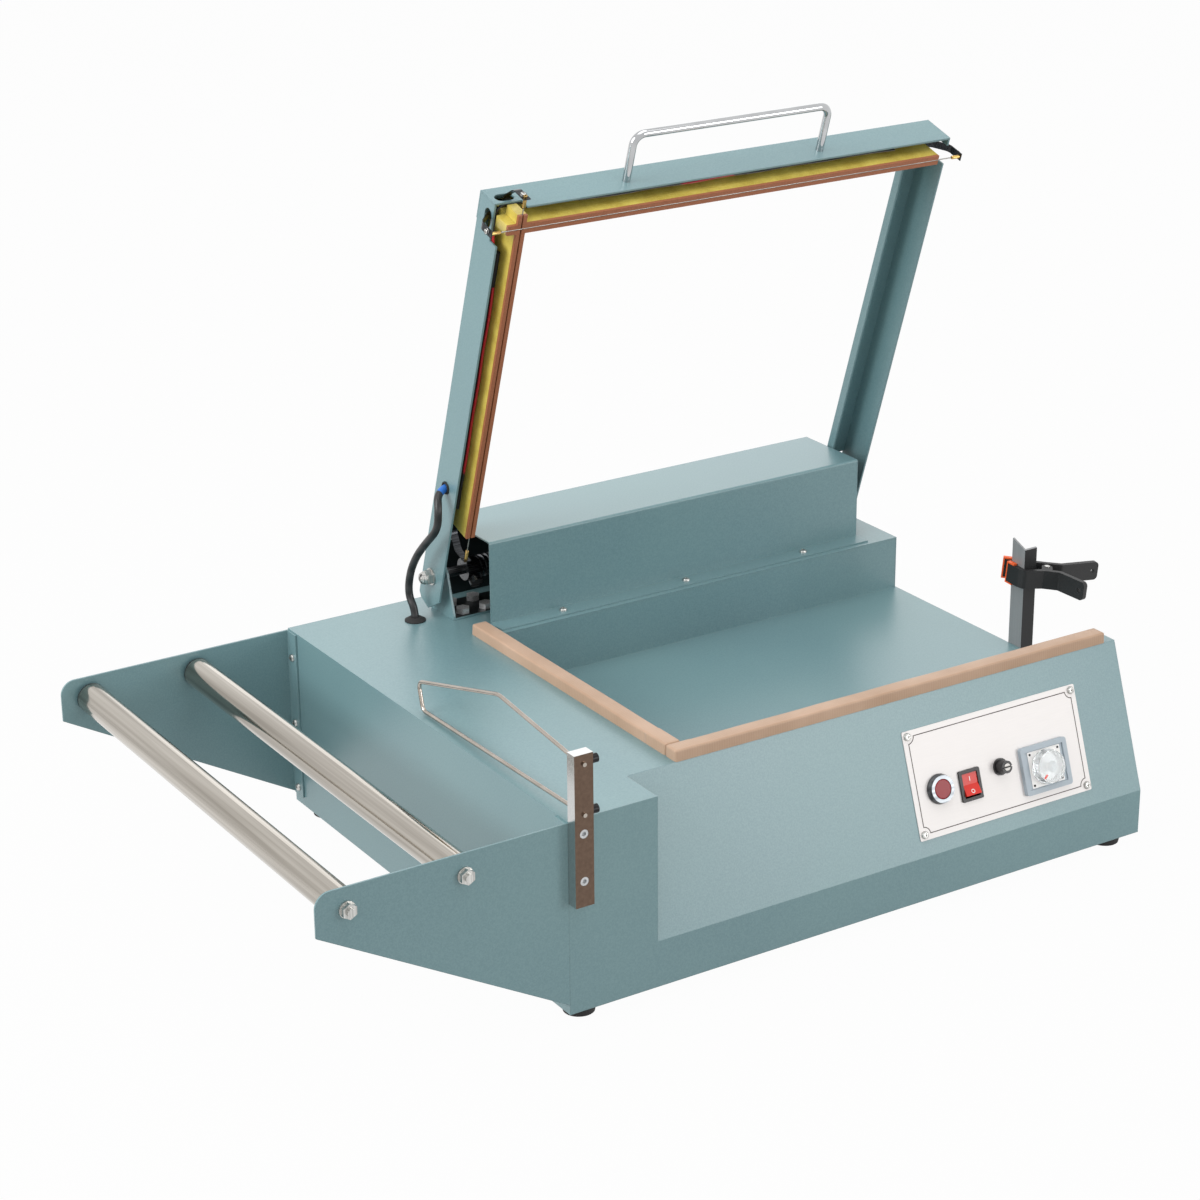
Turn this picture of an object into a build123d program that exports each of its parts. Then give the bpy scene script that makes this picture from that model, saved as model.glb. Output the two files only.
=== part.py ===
from build123d import *
import math
import os

# L bar sealer, millimetres, +X towards the scrap clamp, front panel facing -Y, +Z up

# Cabinet
cabinet_width = 680.0
cabinet_depth = 542.0
cabinet_height = 193.5
sheet = 1.5
block_width = 95.0
apron_height = 47.0
panel_setback = 51.5
tray_left = 167.0
tray_front = 73.0
tray_back_ledge = 134.5
tray_depth = 58.0
tray_flange = 10.0
foot_height = 12.0
foot_top_diameter = 34.0
foot_bottom_diameter = 30.0
foot_inset = 24.0
foot_recess_diameter = 13.0
foot_recess_depth = 5.0
gland_flange_diameter = 26.0
gland_flange_depth = 3.0
gland_reach = 14.0
gland_diameter = 18.0
gland_bore = 8.0
gland_from_right = 90.0
gland_height = 60.0

# Fasteners
screw_diameter = 4.0
screw_head_diameter = 8.0
screw_head_height = 2.6
screw_grip = 8.0
hole_fit = 0.1
hex_across = 13.0
hex_height = 5.5
bolt_diameter = 8.0
bolt_grip = 12.0
socket_head_diameter = 8.5
socket_head_height = 7.5
socket_key = 4.0
socket_key_depth = 2.5
socket_diameter = 5.0

# Roller rack on the left side
rack_reach = 250.0
rack_sheet = 2.0
rack_corner = 15.0
rack_outer_height = 41.0
rack_foot_rise = 10.0
rack_flange = 20.0
rack_top_drop = 1.5
axle_height = 171.0
outer_axle_reach = 220.0
inner_axle_reach = 105.0
axle_diameter = 8.0
axle_overhang = 9.5
nut_across = 13.0
nut_height = 5.0
washer_diameter = 16.0
washer_height = 1.6
roller_diameter = 30.0
roller_wall = 1.5
roller_end_gap = 3.5
cap_depth = 10.0
cap_lip = 1.5
running_fit = 0.05
seat_fit = 0.02

# Film post and film opener
film_post_width = 19.5
film_post_depth = 12.0
film_post_height = 148.5
film_post_below = 81.0
opener_diameter = 4.0
opener_below_top = 9.4
opener_gap = 48.9
opener_tail = 2.0
opener_turn = 8.0
opener_length = 296.0
opener_rise = 13.6
opener_crest = 145.0
opener_dip = 27.7
opener_under_dip = 6.2
opener_tip_radius = 7.5
post_screw_offset = 9.5
post_screw_low = 12.5
post_screw_high = 71.5
clamp_screw_tip = 0.3

# Sealing frame and its hinge
hinge_from_back = 54.0
hinge_above_table = 44.0
open_angle = 72.0
arm_left = 139.5
frame_right_inset = 7.0
frame_front_margin = 43.0
arm_height = 40.0
arm_above_axis = 19.0
arm_sheet = 2.0
bend_radius = 1.5
channel_width = 29.0
right_channel_width = 26.0
channel_lip = 10.0
front_channel_depth = 30.0
web_start = 30.0
arm_tail = 38.8
tail_shoulder = 36.0
tail_toe = 19.6
tail_drop = 6.0
tail_point_drop = 2.8
corner_notch_length = 38.0
corner_notch_height = 12.0
right_notch_margin = 30.0
right_notch_length = 21.0
right_notch_height = 27.0
slot_length = 20.0
slot_height = 12.0
slot_offset = 3.0
cable_hole_diameter = 12.0
cable_hole_reach = 112.6
cable_hole_level = -1.0
shaft_diameter = 10.0
shaft_overhang = 7.0
acorn_across = 14.0
acorn_height = 6.0
acorn_dome = 6.5
acorn_dome_shares = [0.4, 0.15]
shaft_washer_diameter = 18.0
shaft_washer_height = 1.5

# Hinge brackets and springs on the rear ledge
bracket_inset = 11.5
bracket_width = 102.5
bracket_sheet = 2.5
bracket_half_depth = 23.5
bracket_eye_radius = 12.0
bracket_bolt_inset = 17.0
bracket_bolt_pitch = 27.0
bracket_bolt_row = 13.0
bush_wall = 2.0
bush_flange = 2.0
bush_flange_height = 1.2
spring_wire = 3.6
spring_coil_diameter = 24.0
spring_length = 46.0
spring_pitch = 5.75
spring_from_bracket = 42.0
collar_diameter = 24.0
collar_width = 14.0
collar_screw_diameter = 8.0
collar_head_diameter = 14.0
collar_head_height = 5.0
collar_screw_reach = 15.0
collar_bolt_angle = 198.0

# Sealing bars, edges and wires
bar_thickness = 10.0
side_bar_inset = 18.0
front_bar_inset = 17.0
bar_tip_drop = 32.0
edge_height = 3.0
edge_strip = 4.3
wire_diameter = 1.2
wire_slot = 1.6
wire_reach = 16.7
bar_stub = 9.7
side_bar_start = 67.0
front_bar_inset_right = 19.0
half_lap_level = -20.0
stub_level = -10.0
lap_fit = 0.2
crossing_wire_rise = 1.3

# Tension levers of the seal wires
lever_width = 8.0
lever_strip = 0.8
lever_gap = 0.1
lever_root_top = 14.0
lever_root_bottom = 3.5
lever_knee = 3.0
lever_shelf = 14.0
lever_reach = 28.0
lever_drop = 14.0
lever_tip_level = -34.0
lever_small_bend = 2.0
lever_large_bend = 9.0
ferrule_diameter = 3.0
ferrule_length = 10.0
tip_screw_level = -26.0
lever_head_share = 0.75

# Handle of the frame
handle_diameter = 8.0
handle_from_left = 148.5
handle_from_right = 155.0
handle_reach = 50.0
handle_level = -5.0
handle_bend = 12.0

# Leads inside the frame's channels
lead_diameter = 3.0
lead_gap = 0.5
lead_level = -12.0
lead_bend = 9.0
lead_end_margin = 24.0

# Pads under the bars
pad_width = 18.0
pad_rail_height = 5.0
pad_rail_width = 15.0
pad_edge_radius = 3.0
closed_gap = 0.4
front_pad_inset = 13.0
side_pad_from_hinge = 64.0

# Spring cover on the rear ledge
cover_left = 178.4
cover_from_right = 35.0
cover_depth = 97.0
cover_from_back = 10.0
cover_height = 89.0
cover_front_flange = 21.5
cover_back_flange = 9.0
cover_sheet = 1.5
cover_bend = 2.5
cover_screw_margin = 80.0

# Control panel, placed along the width and up the slope
plate_width = 216.0
plate_height = 108.0
plate_sheet = 1.0
plate_from_right = 170.0
plate_rise = 70.0
plate_corner = 1.5
plate_screw_inset = 5.5
button_offset = -75.6
button_rise = 60.8
button_bezel_diameter = 30.0
button_bezel_height = 6.0
button_bore = 20.0
button_barrel_diameter = 22.0
button_barrel_depth = 26.0
button_lens_height = 6.2
button_lens_depth = 9.0
button_travel = 3.0
button_dome = 1.5
rocker_offset = -38.8
rocker_rise = 56.1
rocker_bezel_width = 25.5
rocker_bezel_height = 31.0
rocker_bezel_lip = 2.0
rocker_body_width = 22.0
rocker_body_height = 27.5
rocker_body_depth = 20.0
rocker_wall = 1.6
rocker_side_gap = 0.3
rocker_half_length = 10.9
rocker_end_height = 3.9
rocker_valley_height = 1.9
rocker_belly = 9.0
rocker_belly_half = 4.0
rocker_shoulder = 5.0
rocker_pivot_depth = 2.0
rocker_tilt = 10.0
rocker_pin_diameter = 2.4
rocker_pin_reach = 0.8
fuse_offset = 0.5
fuse_rise = 64.7
fuse_flange_diameter = 17.0
fuse_flange_height = 2.0
fuse_barrel_diameter = 12.5
fuse_barrel_depth = 28.0
fuse_bore = 8.6
fuse_cap_diameter = 13.6
fuse_cap_height = 9.5
fuse_plug_depth = 12.0
fuse_slot_width = 1.2
fuse_slot_depth = 1.5
timer_offset = 53.9
timer_rise = 52.4
timer_bezel_width = 58.0
timer_bezel_height = 48.0
timer_bezel_lip = 4.5
timer_corner = 3.0
timer_body_width = 52.0
timer_body_height = 42.0
timer_body_depth = 42.0
timer_rim = 5.0
timer_dial_drop = 1.5
timer_spindle_diameter = 6.0
timer_spindle_depth = 10.0
timer_knob_diameter = 35.0
timer_knob_height = 10.0
timer_knob_taper = 1.2
timer_knob_gap = 0.6
window_margin = 0.5

# Parts inside the cabinet
transformer_width = 96.0
transformer_depth = 70.0
transformer_height = 82.0
transformer_stack = 44.0
transformer_x = 110.0
transformer_from_back = 72.0
terminal_length = 90.0
terminal_width = 22.0
terminal_height = 18.0
terminal_x = 260.0
terminal_pitch = 15.0
terminal_slot = 2.0
terminal_step = 6.0
relay_width = 28.0
relay_depth = 36.0
relay_height = 54.0
relay_base = 16.0
relay_x = 350.0
switch_length = 28.0
switch_height = 16.0
switch_thickness = 10.0
switch_level = 22.0

# Scrap clamp and its post on the right side
post_width = 16.0
post_depth = 20.0
post_wall = 2.0
post_front = 193.0
post_bottom = 40.0
post_top = 253.0
post_mitre_drop = 8.0
post_screw_low = 25.0
post_screw_pitch = 45.0
clamp_out = 26.4
clamp_ahead = 4.2
clamp_below_top = 40.0
clamp_yaw = 40.1
clamp_pitch = 4.6
clamp_half_height = 10.0
clamp_band = 5.0
clamp_pin_diameter = 4.0
clamp_boss_radius = 5.5
clamp_lug = 4.0
clamp_gap = 0.4
clamp_arm_offset = 10.0
clamp_reach = 46.0
clamp_handle_hole = 4.5
clamp_hole_inset = 6.5
clamp_end_radius = 4.5
clamp_shoe_length = 9.0
clamp_shoe_wall = 1.6
front_arm_shares = [
    (0.87, -0.76),
    (0.30, -0.24),
    (-0.08, -0.24),
    (-0.50, -0.39),
    (-0.598, -0.318),
    (-0.845, -0.018),
]
rear_arm_shares = [(1.16, 0.74), (0.34, 0.26), (0.0, 0.24), (-0.50, 0.24), (-0.80, 0.245), (-0.96, 0.25)]
clamp_bend_share = 0.08
clamp_spring_wall = 1.4

# Cable from the table to the frame
cable_diameter = 8.0
grommet_diameter = 22.0
grommet_height = 4.0
grommet_from_arm = 20.5
cable_bend_share = 0.45
bar_screw_count = 3
bar_screw_margin = 50.0
screw_head_taper = 14.0
overrun = 5.0
touch_gap = 0.3

# Places that follow from the sizes above
tray_back = cabinet_depth - tray_back_ledge
gland_from_left = cabinet_width - gland_from_right
hinge_from_front = cabinet_depth - hinge_from_back
frame_right = cabinet_width - frame_right_inset
frame_reach = hinge_from_front - frame_front_margin
right_notch_start = frame_reach - right_notch_margin
front_bar_end = frame_right - front_bar_inset_right
handle_left = arm_left + handle_from_left
handle_right = frame_right - handle_from_right
front_pad_right = cabinet_width - front_pad_inset
side_pad_back = hinge_from_front - side_pad_from_hinge
cover_right = cabinet_width - cover_from_right
cover_back = cabinet_depth - cover_from_back
cover_front = cover_back - cover_depth
plate_centre = cabinet_width - plate_from_right
button_x = plate_centre + button_offset
rocker_x = plate_centre + rocker_offset
fuse_x = plate_centre + fuse_offset
timer_x = plate_centre + timer_offset
transformer_y = cabinet_depth - transformer_from_back
clamp_x = cabinet_width + clamp_out
clamp_y = post_front - clamp_ahead
clamp_z = post_top - clamp_below_top
grommet_x = arm_left - grommet_from_arm
grommet_y = hinge_from_front

# Everything stands on its feet, centred over its own outline
yaw = math.radians(clamp_yaw)
pitch = math.radians(clamp_pitch)
handle_along, handle_across = rear_arm_shares[0]
rear_handle_out = clamp_reach * (handle_along * math.cos(yaw) + handle_across * math.sin(yaw))
right_extent = clamp_x + rear_handle_out + clamp_band / 2
opener_front = film_post_depth + opener_tail
origin_from_left = (right_extent - rack_reach) / 2
origin_from_front = (cabinet_depth + gland_reach - opener_front) / 2
x_left = -origin_from_left
y_front = -origin_from_front
z_base = foot_height

cabinet_plane = Plane(origin=(x_left, y_front, z_base))

panel_rise = cabinet_height - apron_height
panel_slope = math.atan2(panel_setback, panel_rise)
panel_plane = Plane(
    origin=(x_left, y_front, z_base + apron_height),
    x_dir=(1, 0, 0),
    z_dir=(0, -math.cos(panel_slope), math.sin(panel_slope)),
)

hinge_level = cabinet_height + hinge_above_table
hinge_lift = math.radians(open_angle)
frame_plane = Plane(
    origin=(x_left, y_front + hinge_from_front, z_base + hinge_level),
    x_dir=(1, 0, 0),
    z_dir=(0, math.sin(hinge_lift), math.cos(hinge_lift)),
)
frame_out = frame_plane.y_dir * -1
frame_up = frame_plane.z_dir

arm_low = arm_above_axis - arm_height
web_level = arm_above_axis - arm_sheet
flange_inside = frame_reach - arm_sheet
channel_start = frame_reach - front_channel_depth
right_arm_left = frame_right - right_channel_width
bar_low = edge_height - bar_tip_drop
side_bar_x = arm_left + side_bar_inset
front_bar_v = frame_reach - front_bar_inset
half_bar = bar_thickness / 2
front_wire_level = wire_diameter / 2 - bar_tip_drop
side_wire_level = front_wire_level + crossing_wire_rise
pad_height = hinge_above_table - bar_tip_drop - closed_gap
floor_level = cabinet_height - tray_depth
shaft_radius = shaft_diameter / 2
frame_middle = (arm_left + frame_right) / 2

os.makedirs("parts", exist_ok=True)


def keep(builder, label):
    """Label a finished sub-part and write it as its own STEP file."""
    builder.part.label = label
    export_step(builder.part, f"parts/{label}.step")


def block(plane, x_span, y_span, z_span, mode=Mode.ADD):
    """Extrude a rectangle between two corners, in a plane's own axes."""
    with BuildSketch(plane.offset(z_span[0])) as outline:
        with Locations(((x_span[0] + x_span[1]) / 2, (y_span[0] + y_span[1]) / 2)):
            Rectangle(x_span[1] - x_span[0], y_span[1] - y_span[0])
    extrude(outline.sketch, amount=z_span[1] - z_span[0], mode=mode)


def prism(plane, points, length, mode=Mode.ADD):
    """Extrude a closed outline of a plane along the plane's normal."""
    with BuildSketch(plane) as outline:
        with BuildLine():
            Polyline(*points, close=True)
        make_face()
    extrude(outline.sketch, amount=length, mode=mode)


def rod(start, direction, radius, length, mode=Mode.ADD):
    """Extrude a circle from a point along a direction."""
    with BuildSketch(Plane(origin=start, z_dir=direction)) as outline:
        Circle(radius)
    extrude(outline.sketch, amount=length, mode=mode)


def hexagon(start, direction, across_flats, length, mode=Mode.ADD):
    """Extrude a hexagon of a given width across its flats."""
    with BuildSketch(Plane(origin=start, z_dir=direction)) as outline:
        RegularPolygon(radius=across_flats / 2, side_count=6, major_radius=False)
    extrude(outline.sketch, amount=length, mode=mode)


def turned(plane, points, mode=Mode.ADD):
    """Revolve an outline of radii and heights about a plane's normal."""
    with BuildSketch(Plane(origin=plane.origin, x_dir=plane.x_dir, z_dir=plane.y_dir * -1)) as outline:
        with BuildLine():
            Polyline(*points, close=True)
        make_face()
    revolve(outline.sketch, axis=Axis(plane.origin, plane.z_dir), mode=mode)


def tube(points, radii, radius):
    """Sweep a circle along straight runs joined by tangent arcs."""
    with BuildLine() as path:
        FilletPolyline(*points, radius=radii)
    with BuildSketch(Plane(origin=path.line @ 0, z_dir=path.line % 0)) as outline:
        Circle(radius)
    sweep(outline.sketch, path=path.line)
    return path.wires()[0].length


def strip(plane, points, radii, thickness, width):
    """Bend a flat strip along a path of a plane, centred on the plane."""
    with BuildSketch(plane) as outline:
        with BuildLine():
            FilletPolyline(*points, radius=radii)
        trace(line_width=thickness)
    extrude(outline.sketch, amount=width / 2, both=True)


def world(x, y, z):
    """A point measured from the cabinet's front left bottom corner."""
    return Vector(x_left + x, y_front + y, z_base + z)


def on_frame(x, v, w):
    """A point of the sealing frame: along its hinge, out from it, and above it when closed."""
    return frame_plane.from_local_coords(Vector(x, -v, w))


def frame_block(x_span, v_span, w_span, mode=Mode.ADD):
    """A block of the sealing frame between two corners."""
    block(frame_plane, x_span, (-v_span[1], -v_span[0]), w_span, mode)


def frame_side(x):
    """A plane across the hinge axis, drawn in v and w, facing left."""
    return Plane(origin=on_frame(x, 0, 0), x_dir=frame_out, z_dir=(-1, 0, 0))


def frame_face(v):
    """A plane along the hinge axis, drawn in x and w, facing away from the hinge."""
    return Plane(origin=on_frame(0, v, 0), x_dir=(1, 0, 0), z_dir=frame_out)


def cabinet_side(x):
    """A plane drawn in y and z, facing right."""
    return Plane(origin=world(x, 0, 0), x_dir=(0, 1, 0), z_dir=(1, 0, 0))


def cabinet_face(y):
    """A plane drawn in x and z, facing the front."""
    return Plane(origin=world(0, y, 0), x_dir=(1, 0, 0), z_dir=(0, -1, 0))


def on_panel(x, rise, height=0):
    """A plane on the sloped panel, facing out."""
    return Plane(origin=panel_plane.from_local_coords(Vector(x, rise, height)), x_dir=(1, 0, 0), z_dir=panel_plane.z_dir)


def drill(places, radius, depth):
    """Cut clearance holes for screws that come from outside along their own axes."""
    for point, out in places:
        rod(point + out * overrun, out * -1, radius, overrun + depth, Mode.SUBTRACT)


def pan_head(point, out, grip):
    """A pan-head screw seated at a point, its head outside."""
    with BuildSketch(Plane(origin=point, z_dir=out)) as outline:
        Circle(screw_head_diameter / 2)
    extrude(outline.sketch, amount=screw_head_height, taper=screw_head_taper)
    rod(point, out * -1, screw_diameter / 2, grip)


# Where the screws go
down = Vector(0, 0, -1)
up = Vector(0, 0, 1)
right = Vector(1, 0, 0)
left = Vector(-1, 0, 0)
front = Vector(0, -1, 0)
back = Vector(0, 1, 0)
foot_xs = (foot_inset, cabinet_width - foot_inset)
foot_ys = (foot_inset, cabinet_depth - foot_inset)
foot_centres = [(x, y) for x in foot_xs for y in foot_ys]
foot_screws = [(world(x, y, foot_recess_depth - foot_height), down) for x, y in foot_centres]
cover_middle = (cover_left + cover_right) / 2
cover_screw_xs = (cover_left + cover_screw_margin, cover_middle, cover_right - cover_screw_margin)
cover_top_of_flange = cabinet_height + cover_sheet
cover_screws = [(world(x, cover_front - cover_front_flange / 2, cover_top_of_flange), up) for x in cover_screw_xs]
cover_screws += [(world(x, cover_back + cover_back_flange / 2, cover_top_of_flange), up) for x in cover_screw_xs]
rack_top = cabinet_height - rack_top_drop
rack_screw_zs = [rack_foot_rise + (rack_top - rack_foot_rise) * share for share in (0.05, 0.45, 0.85)]
rack_screw_ys = (rack_sheet + (rack_flange - rack_sheet) / 2, cabinet_depth - rack_sheet - (rack_flange - rack_sheet) / 2)
rack_screws = [(world(-rack_sheet, y, z), left) for y in rack_screw_ys for z in rack_screw_zs]
plate_screws = [
    (on_panel(plate_centre + sx * (plate_width / 2 - plate_screw_inset), plate_rise + sy * (plate_height / 2 - plate_screw_inset), plate_sheet).origin, panel_plane.z_dir)
    for sx in (-1, 1)
    for sy in (-1, 1)
]
post_middle = post_front + (post_depth + post_wall) / 2
post_screws = [(world(cabinet_width + post_wall, post_middle, post_bottom + post_screw_low + post_screw_pitch * row), right) for row in (0, 1)]
bracket_left = arm_left + bracket_inset
bracket_bolts = []
for side in (-1, 1):
    outer = frame_middle + side * (frame_middle - bracket_left)
    for along in (bracket_bolt_inset, bracket_bolt_inset + bracket_bolt_pitch):
        for across in (-bracket_bolt_row, bracket_bolt_row):
            bracket_bolts.append((world(outer - side * along, hinge_from_front + across, cabinet_height + bracket_sheet), up))
handle_screws = [(on_frame(x, flange_inside, handle_level), frame_out * -1) for x in (handle_left, handle_right)]
front_screw_run = front_bar_end - side_bar_x - bar_screw_margin * 2
side_screw_run = channel_start - side_bar_start - bar_screw_margin * 2
bar_screw_steps = [step / (bar_screw_count - 1) for step in range(bar_screw_count)]
front_bar_screws = [(on_frame(side_bar_x + bar_screw_margin + front_screw_run * step, front_bar_v, arm_above_axis), frame_up) for step in bar_screw_steps]
side_bar_screws = [(on_frame(side_bar_x, side_bar_start + bar_screw_margin + side_screw_run * step, arm_above_axis), frame_up) for step in bar_screw_steps]
collar_bolt_turn = math.radians(collar_bolt_angle)
film_post_bottom = cabinet_height - film_post_below
film_post_top = film_post_bottom + film_post_height
post_seat_screws = [(world(post_screw_offset, -film_post_depth, film_post_bottom + dz), front) for dz in (post_screw_low, post_screw_high)]
opener_top = film_post_top - opener_below_top
opener_low = opener_top - opener_gap
opener_x = film_post_width / 2
screw_hole = screw_diameter / 2 + hole_fit
bolt_hole = bolt_diameter / 2 + hole_fit
socket_hole = socket_diameter / 2 + hole_fit


# Cabinet: folded shell with the sloped panel face, open below and over the tray
def side_profile(inset):
    """The cabinet's outline seen from the right, drawn in by a wall thickness."""
    lean = inset / math.cos(panel_slope)
    slope_run = panel_setback / panel_rise
    top = cabinet_height - inset
    front_inside = inset
    knee = apron_height + (front_inside - lean) / slope_run
    top_front = lean + (top - apron_height) * slope_run
    rear = cabinet_depth - inset
    return [(front_inside, 0), (front_inside, knee), (top_front, top), (rear, top), (rear, 0)]


with BuildPart() as cabinet_shell:
    prism(cabinet_side(0), side_profile(0), cabinet_width)
    block(cabinet_plane, (0, block_width), (0, cabinet_depth), (0, cabinet_height))
    prism(cabinet_side(sheet), side_profile(sheet), cabinet_width - sheet * 2, Mode.SUBTRACT)
    block(cabinet_plane, (sheet, block_width - sheet), (sheet, cabinet_depth - sheet), (0, cabinet_height - sheet), Mode.SUBTRACT)
    tray_cut = (floor_level - sheet, cabinet_height + overrun)
    block(cabinet_plane, (tray_left, cabinet_width + overrun), (tray_front, tray_back), tray_cut, Mode.SUBTRACT)
    window = window_margin * 2
    for x, rise, width, height in (
        (rocker_x, rocker_rise, rocker_body_width, rocker_body_height),
        (timer_x, timer_rise, timer_body_width, timer_body_height),
    ):
        with BuildSketch(on_panel(x, rise)):
            Rectangle(width + window, height + window)
        extrude(amount=sheet * 2, both=True, mode=Mode.SUBTRACT)
    for x, rise, diameter in (
        (button_x, button_rise, button_barrel_diameter),
        (fuse_x, fuse_rise, fuse_barrel_diameter),
    ):
        with BuildSketch(on_panel(x, rise)):
            Circle(diameter / 2 + window_margin)
        extrude(amount=sheet * 2, both=True, mode=Mode.SUBTRACT)
    drill(cover_screws + rack_screws + plate_screws + post_screws, screw_hole, screw_grip)
    drill(bracket_bolts, bolt_hole, bolt_grip)
    drill(post_seat_screws, socket_hole, film_post_depth + screw_grip)
    rod(world(grommet_x, grommet_y, cabinet_height + overrun), down, cable_diameter / 2 + window_margin, overrun * 2, Mode.SUBTRACT)
    rod(world(gland_from_left, cabinet_depth + overrun, gland_height), front, gland_bore / 2 + window_margin, overrun * 2, Mode.SUBTRACT)
keep(cabinet_shell, "cabinet_shell")

# Tray pan: welded under the top plate, its floor running out over the right wall
with BuildPart() as work_tray:
    under_top = cabinet_height - sheet
    right_inside = cabinet_width - sheet
    block(cabinet_plane, (tray_left - sheet, right_inside), (tray_front - sheet, tray_back + sheet), (floor_level - sheet, under_top))
    block(cabinet_plane, (tray_left - sheet - tray_flange, right_inside), (tray_front - sheet, tray_back + sheet + tray_flange), (under_top - sheet, under_top))
    block(cabinet_plane, (tray_left, right_inside + overrun), (tray_front, tray_back), (floor_level, cabinet_height), Mode.SUBTRACT)
    block(cabinet_plane, (right_inside, cabinet_width), (tray_front, tray_back), (floor_level - sheet, floor_level))
keep(work_tray, "work_tray")

# Bottom plate: drops into the shell's lower edge
with BuildPart() as bottom_plate:
    block(cabinet_plane, (sheet, cabinet_width - sheet), (sheet, cabinet_depth - sheet), (0, sheet))
    drill(foot_screws, screw_hole, foot_height + sheet * 2)
keep(bottom_plate, "bottom_plate")

# Four tapered rubber feet, each with a recess for its screw
with BuildPart() as rubber_feet:
    for x, y in foot_centres:
        turned(
            Plane(origin=world(x, y, -foot_height)),
            [
                (screw_hole, foot_recess_depth),
                (foot_recess_diameter / 2, foot_recess_depth),
                (foot_recess_diameter / 2, 0),
                (foot_bottom_diameter / 2, 0),
                (foot_top_diameter / 2, foot_height),
                (screw_hole, foot_height),
            ],
        )
keep(rubber_feet, "rubber_feet")

# Mains cable gland in the rear wall
with BuildPart() as mains_gland:
    turned(
        Plane(origin=world(gland_from_left, cabinet_depth, gland_height), x_dir=(1, 0, 0), z_dir=(0, 1, 0)),
        [
            (gland_bore / 2, 0),
            (gland_flange_diameter / 2, 0),
            (gland_flange_diameter / 2, gland_flange_depth),
            (gland_diameter / 2, gland_flange_depth),
            (gland_diameter / 2, gland_reach - gland_flange_depth),
            (gland_diameter / 2 - gland_flange_depth, gland_reach),
            (gland_bore / 2, gland_reach),
        ],
    )
keep(mains_gland, "mains_gland")

# Pan-head screws of the feet, cover, rack, control plate and clamp post
with BuildPart() as pan_head_screws:
    for point, out in foot_screws:
        pan_head(point, out, foot_height - foot_recess_depth + sheet * 2)
    for point, out in cover_screws + rack_screws + plate_screws + post_screws:
        pan_head(point, out, screw_grip)
keep(pan_head_screws, "pan_head_screws")

# Spring cover: one folded sheet, open at both ends, flanged to the ledge
with BuildPart() as spring_cover:
    cover_span = (cover_left, cover_right)
    cover_top = cabinet_height + cover_height
    block(cabinet_plane, cover_span, (cover_front, cover_back), (cabinet_height, cover_top))
    outer_edges = spring_cover.edges().filter_by(Axis.X).group_by(Axis.Z)[-1]
    fillet(outer_edges, radius=cover_bend)
    cover_hollow = (cover_front + cover_sheet, cover_back - cover_sheet)
    block(cabinet_plane, cover_span, cover_hollow, (cabinet_height - overrun, cover_top - cover_sheet), Mode.SUBTRACT)
    flange_span = (cabinet_height, cover_top_of_flange)
    block(cabinet_plane, cover_span, (cover_front - cover_front_flange, cover_front + cover_sheet), flange_span)
    block(cabinet_plane, cover_span, (cover_back - cover_sheet, cover_back + cover_back_flange), flange_span)
    drill(cover_screws, screw_hole, screw_grip)
keep(spring_cover, "spring_cover")

# Hinge brackets: two folded channels whose ears carry the shaft
bush_outer = shaft_radius + running_fit + bush_wall
with BuildPart() as hinge_brackets:
    for side in (-1, 1):
        ends = sorted((frame_middle + side * (frame_middle - bracket_left), frame_middle + side * (frame_middle - bracket_left - bracket_width)))
        depth_span = (hinge_from_front - bracket_half_depth, hinge_from_front + bracket_half_depth)
        block(cabinet_plane, ends, depth_span, (cabinet_height, cabinet_height + bracket_sheet))
        for x in (ends[0], ends[1] - bracket_sheet):
            with BuildSketch(cabinet_side(x)):
                with Locations((hinge_from_front, hinge_level)):
                    Circle(bracket_eye_radius)
                with Locations((hinge_from_front, cabinet_height + bracket_sheet)):
                    Rectangle(bracket_half_depth * 2, bracket_sheet * 2)
                make_hull()
                with Locations((hinge_from_front, hinge_level)):
                    Circle(bush_outer + seat_fit, mode=Mode.SUBTRACT)
            extrude(amount=bracket_sheet)
    drill(bracket_bolts, bolt_hole, bolt_grip)
keep(hinge_brackets, "hinge_brackets")

# Hex bolts of the brackets
with BuildPart() as hex_bolts:
    for point, out in bracket_bolts:
        hexagon(point, out, hex_across, hex_height)
        rod(point, out * -1, bolt_diameter / 2, bolt_grip)
keep(hex_bolts, "hex_bolts")

# Flanged bushes in the four ears
with BuildPart() as hinge_bushes:
    for side in (-1, 1):
        for x, inward in ((frame_middle - side * (frame_middle - bracket_left), side), (frame_middle - side * (frame_middle - bracket_left - bracket_width), -side)):
            turned(
                Plane(origin=world(x, hinge_from_front, hinge_level), x_dir=(0, 1, 0), z_dir=(inward, 0, 0)),
                [
                    (shaft_radius + running_fit, 0),
                    (bush_outer, 0),
                    (bush_outer, bracket_sheet),
                    (bush_outer + bush_flange, bracket_sheet),
                    (bush_outer + bush_flange, bracket_sheet + bush_flange_height),
                    (shaft_radius + running_fit, bracket_sheet + bush_flange_height),
                ],
            )
keep(hinge_bushes, "hinge_bushes")

# Torsion springs: coils round the shaft, one in each bracket
spring_mean = (spring_coil_diameter - spring_wire) / 2
with BuildPart() as torsion_springs:
    for side in (-1, 1):
        near = frame_middle + side * (frame_middle - bracket_left - spring_from_bracket)
        start = world(near, hinge_from_front, hinge_level)
        with BuildLine() as coil:
            Helix(pitch=spring_pitch, height=spring_length, radius=spring_mean, center=start, direction=left * side)
        with BuildSketch(Plane(origin=coil.line @ 0, z_dir=coil.line % 0)) as wire:
            RegularPolygon(radius=spring_wire / 2, side_count=6)
        sweep(wire.sketch, path=coil.line, is_frenet=True)
keep(torsion_springs, "torsion_springs")

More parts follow.
